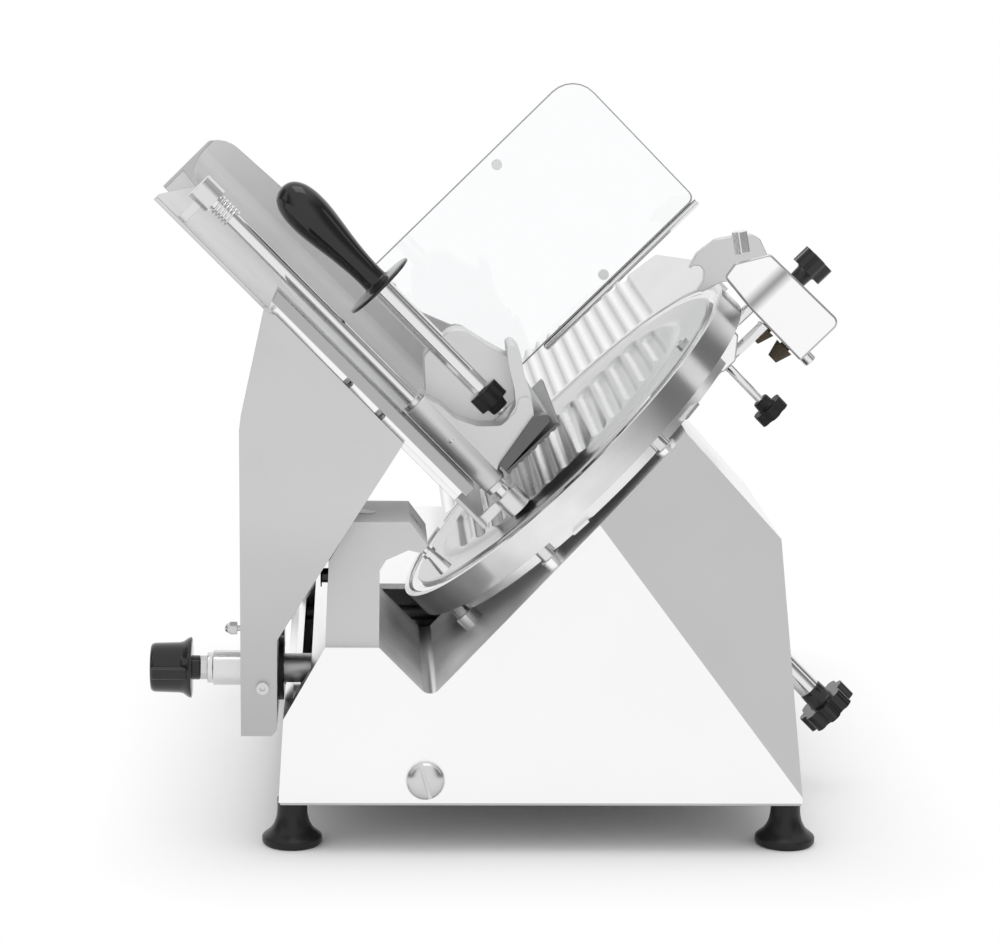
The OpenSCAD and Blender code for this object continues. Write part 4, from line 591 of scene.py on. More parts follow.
# Brushed and cast metal: tone, dull tone, roughness, grain, clouds, marks and bump, then what is special
BRUSHED_FINISHES = {
    "base_cast": (0.96, 0.90, 0.30, 0.08, 0.22, 0.20, 0.01, {}),
    # Painted shade: a darker copy of the casting for the tower's facet.
    "facet_painted_shade": (0.56, 0.50, 0.34, 0.12, 0.35, 0.25, 0.02, {}),
    # Painted shade: a darker copy of the casting for broken edges, the grey outline a rounded edge shows.
    "edge_painted_shade": (0.50, 0.42, 0.30, 0.12, 0.35, 0.25, 0.02, {}),
    # Painted shade: a grey copy of the casting for the turret.
    "turret_painted_shade": (0.64, 0.54, 0.36, 0.10, 0.35, 0.25, 0.02, {"metallic": 0.1}),
    # Painted reflection: clouds from near white to dark grey for the polished trough's reflection patches.
    "trough_painted_reflections": (0.98, 0.30, 0.45, 0.20, 0.80, 0.30, 0.02, {"turn": DOWN_SLOPE, "metallic": 0.15}),
    # Painted light: a brighter copy for the turret's top, which the arm and the table shade.
    "turret_top": (0.98, 0.90, 0.40, 0.10, 0.30, 0.20, 0.01, {"metallic": 0.2}),
    "arm_cast": (0.64, 0.54, 0.36, 0.20, 0.35, 0.30, 0.03, {"turn": UPRIGHT}),
    "sharpener_cast": (0.96, 0.88, 0.28, 0.08, 0.22, 0.20, 0.01, {}),
    "hood_cast": (0.62, 0.52, 0.32, 0.12, 0.35, 0.25, 0.02, {}),
    "pusher_cast": (0.70, 0.60, 0.46, 0.06, 0.35, 0.30, 0.02, {"metallic": 0.75}),
    "table_metal": (0.72, 0.52, 0.44, 0.22, 0.45, 0.25, 0.03, {"turn": UP_SLOPE, "metallic": 0.75}),
    "rail_metal": (0.84, 0.76, 0.24, 0.16, 0.25, 0.20, 0.02, {"turn": UP_SLOPE}),
    "track_metal": (0.95, 0.88, 0.24, 0.16, 0.25, 0.20, 0.02, {"turn": UP_SLOPE}),
    "ring_metal": (0.90, 0.36, 0.15, 0.20, 0.85, 0.25, 0.02, {"turn": DOWN_SLOPE}),
    "rod_metal": (0.80, 0.70, 0.12, 0.10, 0.15, 0.15, 0.01, {"turn": UP_SLOPE}),
    "cap_metal": (0.74, 0.64, 0.22, 0.20, 0.20, 0.20, 0.02, {"turn": UP_SLOPE}),
    "screw_metal": (0.66, 0.55, 0.24, 0.15, 0.25, 0.30, 0.02, {}),
    "inner_steel": (0.55, 0.45, 0.40, 0.20, 0.40, 0.40, 0.03, {}),
    "bush_metal": (0.62, 0.50, 0.34, 0.10, 0.40, 0.30, 0.02, {"tint": (1.0, 0.72, 0.36)}),
    "spike_metal": (0.16, 0.10, 0.32, 0.25, 0.30, 0.30, 0.03, {"turn": UP_SLOPE}),
}

# Moulded finishes: tone, dust tone, roughness, dust, texture size and bump, then what is special
MOULDED_FINISHES = {
    "black_plastic": (0.010, 0.03, 0.10, 0.10, 900.0, 0.05, {"coat": 0.35}),
    "matt_plastic": (0.012, 0.04, 0.38, 0.15, 1400.0, 0.25, {}),
    "foot_rubber": (0.012, 0.04, 0.30, 0.18, 1100.0, 0.2, {}),
    "belt_rubber": (0.02, 0.06, 0.7, 0.4, 1600.0, 0.4, {}),
    "motor_paint": (0.10, 0.16, 0.45, 0.4, 700.0, 0.3, {"tint": (0.9, 0.95, 1.0)}),
    "grindstone": (0.10, 0.17, 0.85, 0.5, 2400.0, 0.9, {"tint": (1.0, 0.80, 0.58)}),
    "guard_button": (0.93, 0.97, 0.40, 0.3, 700.0, 0.1, {}),
    # Painted shade: opaque grey for the dark line that the clear guard's edge shows.
    "guard_edge_painted_shade": (0.42, 0.50, 0.20, 0.3, 90.0, 0.05, {}),
}

FINISHES = {
    "blade_metal": ground_blade("blade_metal", tone=0.78, dull=0.52, roughness=0.13, rings=0.35, bump=0.03),
    "cover_fluted": fluted("cover_fluted", tone=0.56, dull=0.46, roughness=0.24),
    "gauge_fluted": fluted("gauge_fluted", tone=0.68, dull=0.56, roughness=0.22),
    "clear_plastic": clear_plastic("clear_plastic"),
}
for finish, (*numbers, special) in BRUSHED_FINISHES.items():
    FINISHES[finish] = brushed_metal(finish, *numbers, **special)
for finish, (*numbers, special) in MOULDED_FINISHES.items():
    FINISHES[finish] = moulded(finish, *numbers, **special)


def paint_shade_along(name, turn, axis, edges, tone):
    """Paints shade into a finish's colour along an axis between two edges, and brings it back between the
    last two of four.
    """
    tree = FINISHES[name].node_tree
    base_colour = tree.nodes["Principled BSDF"].inputs["Base Color"]
    before = base_colour.links[0].from_socket
    along = axes_of(tree, mapped(tree, place(0, 0, 0), turn))["XYZ".index(axis)]
    edges = [edge / METRE for edge in edges]
    amount = range_node(tree, along, edges[0], edges[1])
    if len(edges) > 2:
        amount = times(tree, amount, range_node(tree, along, edges[2], edges[3], 1.0, 0.0))
    tree.links.new(mix_colour(tree, amount, before, colour(tone)), base_colour)


# Painted shade: the arm darker towards its bottom, and darker along its lip on the operator's side.
paint_shade_along("arm_cast", LEVEL, "Z", ARM_PAINTED_SHADE, tone=0.46)
paint_shade_along("arm_cast", LEVEL, "X", ARM_LIP_PAINTED_SHADE, tone=0.36)
# Painted shade: the table rail darker past a sharp line along its length.
paint_shade_along("track_metal", DOWN_SLOPE, "X", RAIL_PAINTED_SHADE, tone=0.44)
# Painted shade and reflection: a dark band across the sharpener housing's face where the hood meets it.
paint_shade_along("sharpener_cast", DOWN_SLOPE, "Z", SHARPENER_PAINTED_BAND, tone=0.36)

NODES_OF_FINISH = {
    "base_cast": ["base_casting", "clamp_block", "sharpener_body"],
    "arm_cast": ["carriage_arm"],
    "pusher_cast": ["pusher_casting"],
    "table_metal": ["food_table"],
    "rail_metal": ["slice_deflector"],
    "track_metal": ["table_rail"],
    "ring_metal": ["ring_guard"],
    "rod_metal": ["guide_rod", "cover_stop_pin", "tie_rod", "gauge_shaft", "pusher_rod", "rod_spring",
                  "guard_rail", "handle_rod"],
    "cap_metal": ["rod_caps", "lock_sleeve", "pusher_bushes"],
    "screw_metal": ["foot_screws", "guide_rod_caps", "cover_screws", "motor_screws", "blade_screws",
                    "start_button", "arm_fasteners"],
    "inner_steel": ["base_plate", "roller_rail", "hub_housing", "hub_bearings", "motor_bracket",
                    "blade_hub", "driven_pulley", "motor_pulley", "thickness_cam", "slider_block"],
    "bush_metal": ["gauge_bush", "slider_bushes"],
    "spike_metal": ["grip_plate"],
    "blade_metal": ["blade"],
    "cover_fluted": ["blade_cover"],
    "gauge_fluted": ["gauge_plate"],
    "black_plastic": ["tie_rod_knob", "stop_button", "thickness_dial", "lock_knob", "hand_grip",
                      "sharpener_knob", "clamp_knob"],
    "matt_plastic": ["switch_body", "cable_gland", "arm_washer", "rail_roller", "pusher_knob"],
    "foot_rubber": ["feet"],
    "belt_rubber": ["drive_belt"],
    "motor_paint": ["motor_body"],
    "grindstone": ["grinding_stones"],
    "clear_plastic": ["hand_guard"],
}
FINISH_OF = {node: finish for finish, nodes in NODES_OF_FINISH.items() for node in nodes}
BODY_OF = {node: body for body, nodes in frame["record"]["behaviour"]["bodies"].items() for node in nodes}

for node, obj in frame["nodes"].items():
    obj.data.materials.clear()
    obj.data.materials.append(FINISHES[FINISH_OF[node]])


# Making pieces

def add_piece(name, bm, finishes, node=None, body=None, smooth=38.0):
    """Turns a bmesh into a finished piece that rides on its body."""
    mesh = bpy.data.meshes.new(name)
    bmesh.ops.recalc_face_normals(bm, faces=bm.faces)
    bm.to_mesh(mesh)
    bm.free()
    for polygon in mesh.polygons:
        polygon.use_smooth = True
    mesh.set_sharp_from_angle(angle=math.radians(smooth))
    for finish in finishes:
        mesh.materials.append(FINISHES[finish])
    obj = bpy.data.objects.new(name, mesh)
    bpy.context.scene.collection.objects.link(obj)
    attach(obj, body or BODY_OF[node])
    if node:
        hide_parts(node)
    return obj


def edged_piece(name, bm, finishes, node=None, body=None, *, width=None, segments=3, angle=36,
                finish_slot=-1):
    """A piece with its sharp edges broken by a bevel, which may take a finish of its own."""
    obj = add_piece(name, bm, finishes, node, body, smooth=angle)
    bevel = obj.modifiers.new("soft_edges", "BEVEL")
    bevel.width = (width or PIECE_EDGES[name]) / METRE
    bevel.segments = segments
    bevel.limit_method = "ANGLE"
    bevel.angle_limit = math.radians(angle)
    bevel.harden_normals = True
    bevel.miter_outer = "MITER_ARC"
    bevel.material = finish_slot
    return obj


def solid_copy(node):
    """A merged copy of a solid, with its flat faces whole."""
    bm = bmesh.new()
    bm.from_mesh(frame["nodes"][node].data)
    bmesh.ops.remove_doubles(bm, verts=bm.verts, dist=MERGE_GAP / METRE)
    bmesh.ops.dissolve_limit(bm, angle_limit=math.radians(1.5), verts=bm.verts, edges=bm.edges)
    return bm


def softened(node, width, more_finishes=(), finish_slot=-1):
    """The solid's own form with its edges broken, as a casting or a machined piece has them."""
    return edged_piece(node + "_form", solid_copy(node), [FINISH_OF[node], *more_finishes], node,
                       width=width, segments=2, angle=32, finish_slot=finish_slot)


def spun(profile, steps=64):
    """A form turned about Z from a profile of (radius, height) in millimetres."""
    bm = bmesh.new()
    points = [bm.verts.new((r, 0.0, h)) for r, h in profile]
    lines = [bm.edges.new(pair) for pair in zip(points, points[1:])]
    bmesh.ops.spin(bm, geom=points + lines, cent=(0, 0, 0), axis=(0, 0, 1), angle=math.tau,
                   steps=steps, use_merge=True)
    bmesh.ops.remove_doubles(bm, verts=bm.verts, dist=SEAM_GAP)
    return bm


def round_bar(radius, low, high, steps):
    return spun([(0.0, low), (radius, low), (radius, high), (0.0, high)], steps)


def slab(outline, low, high):
    """An outline in the X and Y plane given a height from low to high, in millimetres."""
    bm = bmesh.new()
    face = bm.faces.new([bm.verts.new((x, y, low)) for x, y in outline])
    grown = bmesh.ops.extrude_face_region(bm, geom=[face])
    raised = [part for part in grown["geom"] if isinstance(part, bmesh.types.BMVert)]
    bmesh.ops.translate(bm, verts=raised, vec=(0, 0, high - low))
    return bm


def rounded(corners, radius, steps=5):
    """An outline with every corner rounded. A corner may give its own radius as a third number."""
    points = []
    count = len(corners)
    for i, corner in enumerate(corners):
        here = Vector(corner[:2])
        r = corner[2] if len(corner) > 2 else radius
        back = (Vector(corners[i - 1][:2]) - here)
        on = (Vector(corners[(i + 1) % count][:2]) - here)
        if r <= 0:
            points.append(tuple(here))
            continue
        half = back.angle(on) / 2
        reach = min(r / math.tan(half), back.length * 0.49, on.length * 0.49)
        r = reach * math.tan(half)
        middle = here + (back.normalized() + on.normalized()).normalized() * (r / math.sin(half))
        start = here + back.normalized() * reach - middle
        end = here + on.normalized() * reach - middle
        turn = math.atan2(start.x * end.y - start.y * end.x, start.dot(end))
        for k in range(steps + 1):
            a = turn * k / steps
            points.append((middle.x + start.x * math.cos(a) - start.y * math.sin(a),
                           middle.y + start.x * math.sin(a) + start.y * math.cos(a)))
    return points


def slope_slab(outline, span):
    """An outline of places up and out of the slope, given a depth along the travel."""
    form = slab(rounded(outline, 0.0), *span)
    swap_y_and_z = Matrix(((1, 0, 0, 0), (0, 0, 1, 0), (0, 1, 0, 0), (0, 0, 0, 1)))
    bmesh.ops.transform(form, matrix=swap_y_and_z, verts=form.verts)
    return form


def hexagon(radius, turn):
    """The outline of a hexagon, turned by a share of one side."""
    angles = [math.tau * (k + turn) / 6 for k in range(6)]
    return [(radius * math.cos(a), radius * math.sin(a)) for a in angles]


def smooth_profile(points, steps):
    """A profile drawn as one flowing curve through its points."""
    flowing = []
    count = len(points)
    for i in range(count - 1):
        p0, p1 = Vector(points[max(i - 1, 0)]), Vector(points[i])
        p2, p3 = Vector(points[i + 1]), Vector(points[min(i + 2, count - 1)])
        for k in range(steps):
            t = k / steps
            flowing.append(tuple(0.5 * ((2 * p1) + (p2 - p0) * t + (2 * p0 - 5 * p1 + 4 * p2 - p3) * t * t
                                        + (3 * p1 - p0 - 3 * p2 + p3) * t * t * t)))
    flowing.append(tuple(points[-1]))
    return flowing


def moved(form, *where):
    bmesh.ops.transform(form, matrix=Matrix.Translation(where), verts=form.verts)
    return form


def seated(bm, matrix):
    """Takes a form from millimetres to its place in the machine."""
    bmesh.ops.transform(bm, matrix=matrix @ MM, verts=bm.verts)
    return bm


def joined(*forms):
    """Several closed forms in one bmesh."""
    whole = bmesh.new()
    for form in forms:
        mesh = bpy.data.meshes.new("part_of_piece")
        form.to_mesh(mesh)
        form.free()
        whole.from_mesh(mesh)
        bpy.data.meshes.remove(mesh)
    return whole


# Casting, clear guard and the other solids with their edges broken

def casting_finish_and_painted_shade(normal, centre):
    """The finish of one face of the casting, from the way it looks and its place in metres: the plain
    casting, or one of its copies with painted shade, painted light and painted reflection patches.
    """
    side = place(*TURRET_SIDE)
    sloping = (abs(normal.y) < 0.2 and normal.z > 0.5 and abs(normal.x) > 0.5
               and centre.x < place(TROUGH_END_X, 0, 0).x)
    on_turret = (centre.y < side.y and centre.z > side.z + TURRET_SKIRT / METRE
                 and centre.x < side.x + TURRET_REACH / METRE)
    # Faces turned like the tower's facet take painted shade, the sloping trough painted reflection patches,
    # the turret painted shade and its top painted light.
    if normal.y < -0.9 and normal.x > 0.02 and normal.z > 0.01:
        return "facet_painted_shade"
    if sloping:
        return "trough_painted_reflections"
    if on_turret:
        above = normal.z > 0.3 and centre.z > side.z + TURRET_SHOULDER / METRE
        return "turret_top" if above else "turret_painted_shade"
    return "base_cast"


def base_form():
    """The casting's edges broken and given painted shade; the tower's facet and the turret take painted
    shade, the turret's top painted light and the trough painted reflection patches.
    """
    finishes = ["base_cast", "facet_painted_shade", "turret_painted_shade", "trough_painted_reflections", "edge_painted_shade", "turret_top"]
    obj = softened("base_casting", CASTING_EDGE, finishes[1:], finishes.index("edge_painted_shade"))
    for polygon in obj.data.polygons:
        polygon.material_index = finishes.index(casting_finish_and_painted_shade(polygon.normal, polygon.center))


def guard_form():
    """The clear guard with its sawn edge painted grey all round, painted shade for the dark line a clear
    edge shows, and its white buttons.
    """
    bm = solid_copy("hand_guard")
    bmesh.ops.recalc_face_normals(bm, faces=bm.faces)
    for face in bm.faces:
        face.material_index = 1
    for side in (-1.0, 1.0):
        flat = [face for face in bm.faces if face.normal.y * side > 0.9]
        bmesh.ops.inset_region(bm, faces=flat, thickness=GUARD_PAINTED_SHADE_BAND / METRE, use_even_offset=True)
        for face in flat:
            face.material_index = 0
    add_piece("hand_guard_form", bm, ["clear_plastic", "guard_edge_painted_shade"], "hand_guard", smooth=30)
    obj = softened("guard_rail", GUARD_RAIL_EDGE, ["guard_button"])
    for polygon in obj.data.polygons:
        if (BLADE_FRAME.inverted() @ polygon.center).z > GUARD_BUTTON_W / METRE:
            polygon.material_index = 1


def broken_edges():
    """The arm and the table get painted shade on their broken edges; the other solids keep one finish."""
    for node, width in EDGE_WIDTHS.items():
        if node in ("carriage_arm", "food_table"):
            softened(node, width, ["edge_painted_shade"], 1)
        else:
            softened(node, width)


# Hand grip and knobs

def hand_grip():
    """Black moulded grip: a thin guard disc, a slim neck and a full rounded palm end."""
    profile = [(GRIP_BORE, 0.0)] + smooth_profile(DISC_PROFILE, 4) + smooth_profile(PALM_PROFILE, 5)
    form = seated(spun(profile, steps=96), blade_spot(HANDLE_U, HANDLE_Y, GRIP_W))
    add_piece("hand_grip_form", form, ["black_plastic"], "hand_grip", smooth=50)


def lobed(radius, lobes, depth, steps=8):
    """The outline of a star knob: round lobes with hollows between them."""
    points = []
    full = math.tanh(LOBE_SHARPNESS * (1 + LOBE_FULLNESS))
    for i in range(lobes * steps):
        a = math.tau * i / (lobes * steps)
        swing = math.tanh(LOBE_SHARPNESS * (math.cos(lobes * a) + LOBE_FULLNESS)) / full
        r = radius - depth * (0.5 - 0.5 * swing)
        points.append((r * math.cos(a), r * math.sin(a)))
    return points


def star_knob(name, node, at, direction, radius, thick, lobes, neck_r, neck, bore=0.0,
              finish="matt_plastic"):
    """A lobed head on a slimmer neck, with a raised button on its face and softened edges."""
    head = slab(lobed(radius, lobes, radius * LOBE_DEPTH_SHARE), 0.0, thick)
    edge_r, flare_r = neck_r - COLLAR_EDGE, neck_r + COLLAR_FLARE
    collar = spun([(bore, -neck), (edge_r, -neck), (neck_r, -neck + COLLAR_EDGE),
                   (neck_r + COLLAR_TAPER, -COLLAR_FLARE_LENGTH), (flare_r, COLLAR_OVERLAP),
                   (bore, COLLAR_OVERLAP)], steps=40)
    top, face_r = thick + KNOB_FACE_RISE, radius * KNOB_FACE_SHARE
    button = spun([(0.0, top), (radius * KNOB_DISH_SHARE, top - KNOB_FACE_STEP),
                   (face_r, thick - KNOB_FACE_FALL), (face_r, thick - KNOB_EDGE),
                   (0.0, thick - KNOB_EDGE)], steps=40)
    form = seated(joined(head, collar, button), axis_frame(on_slope(*at), direction))
    edged_piece(name, form, [finish], node, width=KNOB_EDGE, angle=40)


def star_knobs():
    """The pusher's, the tie rod's, the sharpener's and the clamp's knobs, and the clamp's screw."""
    star_knob("pusher_knob_form", "pusher_knob", PUSHER_KNOB_AT, NORMAL_OUT, radius=12.0,
              thick=12.0, lobes=6, neck_r=7.5, neck=6.0, bore=ROD_BORE)
    star_knob("tie_knob_form", "tie_rod_knob", TIE_KNOB_AT, -NORMAL_OUT, radius=20.3, thick=13.0,
              lobes=8, neck_r=8.7, neck=11.9, bore=TIE_ROD_BORE, finish="black_plastic")
    star_knob("press_knob_form", "sharpener_knob", PRESS_KNOB_AT, UP_THE_BLADE, radius=13.0, thick=13.6,
              lobes=6, neck_r=6.4, neck=9.5, finish="black_plastic")
    screw = seated(spun(CLAMP_SCREW_PROFILE, steps=40), axis_frame(on_slope(*CLAMP_AT), -NORMAL_OUT))
    add_piece("clamp_screw", screw, ["rod_metal"], body=BODY_OF["clamp_knob"], smooth=40)
    star_knob("clamp_knob_form", "clamp_knob", CLAMP_AT, -NORMAL_OUT, radius=12.4, thick=8.8, lobes=6,
              neck_r=6.0, neck=6.9)


def lock_knob():
    """The carriage lock: a deep cap with a pointer rib, a flared skirt, and a nut on a stud."""
    towards_base = (1, 0, 0)
    rib = slab(rounded(LOCK_RIB, 1.2, 3), *LOCK_RIB_SPAN)
    form = seated(joined(spun(LOCK_CAP_PROFILE, steps=96), rib),
                  axis_frame(place(LOCK_X, LOCK_Y, LOCK_HEIGHT), towards_base)
                  @ Matrix.Rotation(math.pi / 2, 4, "Z"))
    edged_piece("lock_knob_form", form, ["black_plastic"], "lock_knob")
    nut = joined(slab(hexagon(LOCK_NUT_R, LOCK_NUT_TURN), *LOCK_NUT_SPAN), spun(LOCK_RING_PROFILE, steps=40),
                 round_bar(LOCK_STUD_R, *LOCK_STUD_SPAN, 40))
    seated(nut, axis_frame(place(LOCK_STUD_X, LOCK_Y, LOCK_HEIGHT), towards_base))
    edged_piece("lock_stud", nut, ["screw_metal"], body="lock", segments=2)


# Sharpener

def sharpener():
    """The housing over the stones, its grey hood with two hooks, a bolt, two stems and a push button."""
    body = BODY_OF["sharpener_body"]
    # The housing's finish carries a painted band of shade and reflection by the hood, and its broken edges
    # take painted shade.
    house = seated(slope_slab(HOUSE_OUTLINE, HOUSE_SPAN), BLADE_FRAME)
    edged_piece("sharpener_house", house, ["sharpener_cast", "edge_painted_shade"], "sharpener_body",
                segments=4, finish_slot=1)
    hood = seated(slope_slab(HOOD_OUTLINE, HOOD_SPAN), BLADE_FRAME)
    edged_piece("sharpener_hood", hood, ["hood_cast"], body=body)
    bright = [seated(round_bar(STEM_R, STEM_LOW, top, 48),
                     blade_spot(0, 0, w) @ Matrix.Rotation(math.pi / 2, 4, "Y")) for w, top in STEMS]
    bright.append(seated(spun(PRESS_BUTTON_PROFILE, steps=48),
                         blade_spot(PRESS_BUTTON_U, 0, 0) @ Matrix.Rotation(math.pi, 4, "X")))
    bright.append(seated(slab(hexagon(HOOD_BOLT_R, HOOD_BOLT_TURN), *HOOD_BOLT_SPAN),
                         Matrix.Translation(on_slope(*HOOD_BOLT_AT))
                         @ Matrix.Rotation(math.radians(HOOD_BOLT_LEAN), 4, "Y")))
    edged_piece("sharpener_fittings", joined(*bright), ["rod_metal"], body=body, segments=2)


def clamp_block():
    """The block that holds the sharpener's clamp screw on the ring."""
    block = seated(slope_slab(CLAMP_OUTLINE, CLAMP_SPAN), BLADE_FRAME)
    # The block's broken edges take painted shade.
    edged_piece("clamp_block_form", block, ["base_cast", "edge_painted_shade"], "clamp_block", finish_slot=1)


# Pusher

def pusher_casting():
    """The pusher: a tube for the rod, a web with a rounded pocket, a wall running up to an ear."""
    body = BODY_OF["pusher_casting"]
    tube = moved(spun(TUBE_PROFILE, steps=72), ROD_U, ROD_Y, 0)
    boss = moved(spun(HANDLE_BOSS_PROFILE, steps=56), HANDLE_U, HANDLE_Y, 0)
    form = seated(joined(tube, boss, slope_slab(WEB_OUTLINE, WEB_SPAN),
                         slope_slab(EAR_OUTLINE, EAR_SPAN)), BLADE_FRAME)
    edged_piece("pusher_casting_form", form, ["pusher_cast"], "pusher_casting", segments=4, angle=40)
    back = seated(slope_slab(BACK_OUTLINE, BACK_SPAN), BLADE_FRAME)
    edged_piece("pusher_back", back, ["pusher_cast"], body=body, angle=40)
    along_travel = Matrix.Translation((ROD_U, 0, SET_SCREW_W)) @ Matrix.Rotation(-math.pi / 2, 4, "X")
    tip = spun(SET_SCREW_PROFILE, steps=24)
    bmesh.ops.transform(tip, matrix=along_travel, verts=tip.verts)
    add_piece("set_screw", seated(tip, BLADE_FRAME), ["screw_metal"], body=body, smooth=40)


def grip_plate():
    """The dark plate under the pusher, grooved below, with a raised lip at its near end."""
    low_u, high_u = GRIP_PLATE_U
    teeth = [(low_u, GROOVE_LAND)]
    for k in range(GROOVES):
        start = low_u + GROOVE_HALF + k * GROOVE_PITCH
        teeth += [(start, GROOVE_LAND), (start + GROOVE_HALF, GROOVE_TOP),
                  (start + 2 * GROOVE_HALF, GROOVE_LAND)]
    outline = teeth + [(high_u, GROOVE_LAND), (high_u, GRIP_PLATE_TOP), (low_u, GRIP_PLATE_TOP)]
    plate = slope_slab(outline, GRIP_PLATE_Y)
    lip = slope_slab(GRIP_LIP, (GRIP_PLATE_Y[0], GRIP_LIP_END))
    form = seated(joined(plate, lip), BLADE_FRAME)
    edged_piece("grip_plate_form", form, ["spike_metal"], "grip_plate", segments=2, angle=30)


def rod_spring():
    """A coil of round wire under the top cap."""
    bm = bmesh.new()
    made = bmesh.ops.create_circle(bm, segments=10, radius=WIRE_R, matrix=Matrix.Translation(
        (SPRING_R, 0, 0)) @ Matrix.Rotation(math.pi / 2, 4, "X"))
    edges = list({edge for vert in made["verts"] for edge in vert.link_edges})
    bmesh.ops.spin(bm, geom=made["verts"] + edges, cent=(0, 0, 0), axis=(0, 0, 1),
                   angle=math.tau * SPRING_TURNS, steps=SPRING_STEPS,
                   dvec=(0, 0, SPRING_LENGTH / SPRING_STEPS))
    bmesh.ops.holes_fill(bm, edges=[e for e in bm.edges if e.is_boundary], sides=12)
    seated(bm, blade_spot(ROD_U, ROD_Y, SPRING_W))
    add_piece("rod_spring_form", bm, ["rod_metal"], "rod_spring", smooth=60)


def rubber_feet():
    """Flared feet with a waist, a rolled rim and a hollow under the screw."""
    low = -FOOT_HEIGHT
    rim = [(r, low + h) for r, h in FOOT_RIM]
    hollow = [(r, low + h) for r, h in FOOT_HOLLOW]
    profile = [(0.0, 0.0), (FOOT_TOP_R, 0.0)] + smooth_profile(FOOT_SIDE + rim, 4) + hollow
    feet = [moved(spun(profile, steps=64), x, y, -BASE_DROP) for x in FEET_X for y in FEET_Y]
    add_piece("feet_form", seated(joined(*feet), BLADE_CENTRE), ["foot_rubber"], "feet", smooth=50)


# Blade, cover and gauge plate

def soft_step(value, low, high):
    t = min(1.0, max(0.0, (value - low) / (high - low)))
    return t * t * (3 - 2 * t)


def sheet_grid(count_x, count_y, spot):
    """A fine grid whose points are moved to where spot() says, in millimetres."""
    bm = bmesh.new()
    bmesh.ops.create_grid(bm, x_segments=count_x, y_segments=count_y, size=1.0)
    for vert in bm.verts:
        vert.co = spot(vert.co.x, vert.co.y)
    return bm


def walled(bm, low):
    """Carries a sheet's rim down to one height and closes it below."""
    grown = bmesh.ops.extrude_edge_only(bm, edges=[edge for edge in bm.edges if edge.is_boundary])
    for part in grown["geom"]:
        if isinstance(part, bmesh.types.BMVert):
            part.co.z = low
    bmesh.ops.holes_fill(bm, edges=[edge for edge in bm.edges if edge.is_boundary], sides=0)
    return bm


def groove(across, along, low, high, half, depth, taper=1.0):
    """Depth of one round-ended flute at a point beside its centre line."""
    past = max(0.0, low - along, along - high) * taper
    away = math.hypot(across, past) / half
    if away >= 1.0:
        return 0.0
    return depth * (0.5 + 0.5 * math.cos(math.pi * away)) ** 0.75


def mark_slopes(bm, height, low):
    """Keeps on each point how steeply the fluted face rises up the slope, for the flutes' painted shade and
    painted highlight to follow.
    """
    layer = bm.verts.layers.float.new("slope")
    for vert in bm.verts:
        if vert.co.z > low:
            above = height(vert.co.x + SLOPE_REACH, vert.co.y)
            below = height(vert.co.x - SLOPE_REACH, vert.co.y)
            vert[layer] = (above - below) / (2 * SLOPE_REACH)


def cover_edge(angle):
    """How far the cover's rim is from the blade's centre in one direction."""
    c, s = math.cos(angle), math.sin(angle)
    shifted = -COVER_SHIFT * s + math.sqrt(COVER_R ** 2 - (COVER_SHIFT * c) ** 2)
    return min(COVER_R, shifted)


def cover_height(u, y):
    """The cover's face: a flat rim, a raised field with a soft step, and its flutes."""
    height = COVER_RIM + COVER_RISE * (1 - soft_step(math.hypot(u, y - FIELD_Y), *FIELD_STEP))
    flute = round(u / COVER_PITCH)
    line = flute * COVER_PITCH
    if abs(flute) > COVER_FLUTES_EACH_SIDE:
        return height
    reach = math.sqrt(max(0.0, FLUTED_R ** 2 - line * line)) - FLUTED_MARGIN
    low = FIELD_Y - reach
    high = min(FIELD_Y + reach, FLUTED_HIGH_Y)
    if high <= low:
        return height
    return height - groove(u - line, y, low + COVER_FLUTE_ENDS[0], high - COVER_FLUTE_ENDS[1],
                           *COVER_FLUTE, COVER_FLUTE_TAPER)


def blade_cover():
    """A round sheet with one flat side, whose grid is drawn out to the rim, and a boss behind."""
    drop, roll = COVER_ROLL

    def spot(x, y):
        a = x * math.sqrt(1 - y * y / 2)
        b = y * math.sqrt(1 - x * x / 2)
        r = math.hypot(a, b)
        angle = math.atan2(b, a)
        edge = cover_edge(angle)
        u, v = r * edge * math.cos(angle), r * edge * math.sin(angle)
        rim = soft_step((1 - r) * edge, 0.0, roll)
        return Vector((u, v, cover_height(u, v) - drop * (1 - rim)))

    sheet = walled(sheet_grid(COVER_GRID, COVER_GRID, spot), 0.0)
    form = joined(sheet, spun(COVER_BOSS, steps=48))
    mark_slopes(form, cover_height, COVER_BASE)
    seated(form, blade_spot(0, 0, COVER_W))
    add_piece("blade_cover_form", form, ["cover_fluted"], "blade_cover", smooth=60)


def gauge_height(u, v):
    """The gauge plate's face: flat, with round-ended flutes along the travel."""
    flute = round((u - GAUGE_FIRST_FLUTE) / GAUGE_PITCH)
    if not 0 <= flute < GAUGE_FLUTES:
        return GAUGE_FACE
    line = GAUGE_FIRST_FLUTE + flute * GAUGE_PITCH
    start = math.sqrt(GAUGE_NEAR_R ** 2 - line * line) + GAUGE_FLUTE_START
    return GAUGE_FACE - groove(u - line, v, start, math.inf, *GAUGE_FLUTE)


def gauge_near_edge(u):
    stop_u, stop_v = GAUGE_NEAR_STOP
    if u >= stop_u:
        return stop_v
    return math.sqrt(max(0.0, GAUGE_NEAR_R ** 2 - u * u))


def gauge_far_edge(u):
    for (u0, v0), (u1, v1) in zip(GAUGE_FAR_EDGE, GAUGE_FAR_EDGE[1:]):
        if u >= u1:
            return v0 + (u0 - u) / (u0 - u1) * (v1 - v0)
    return v1


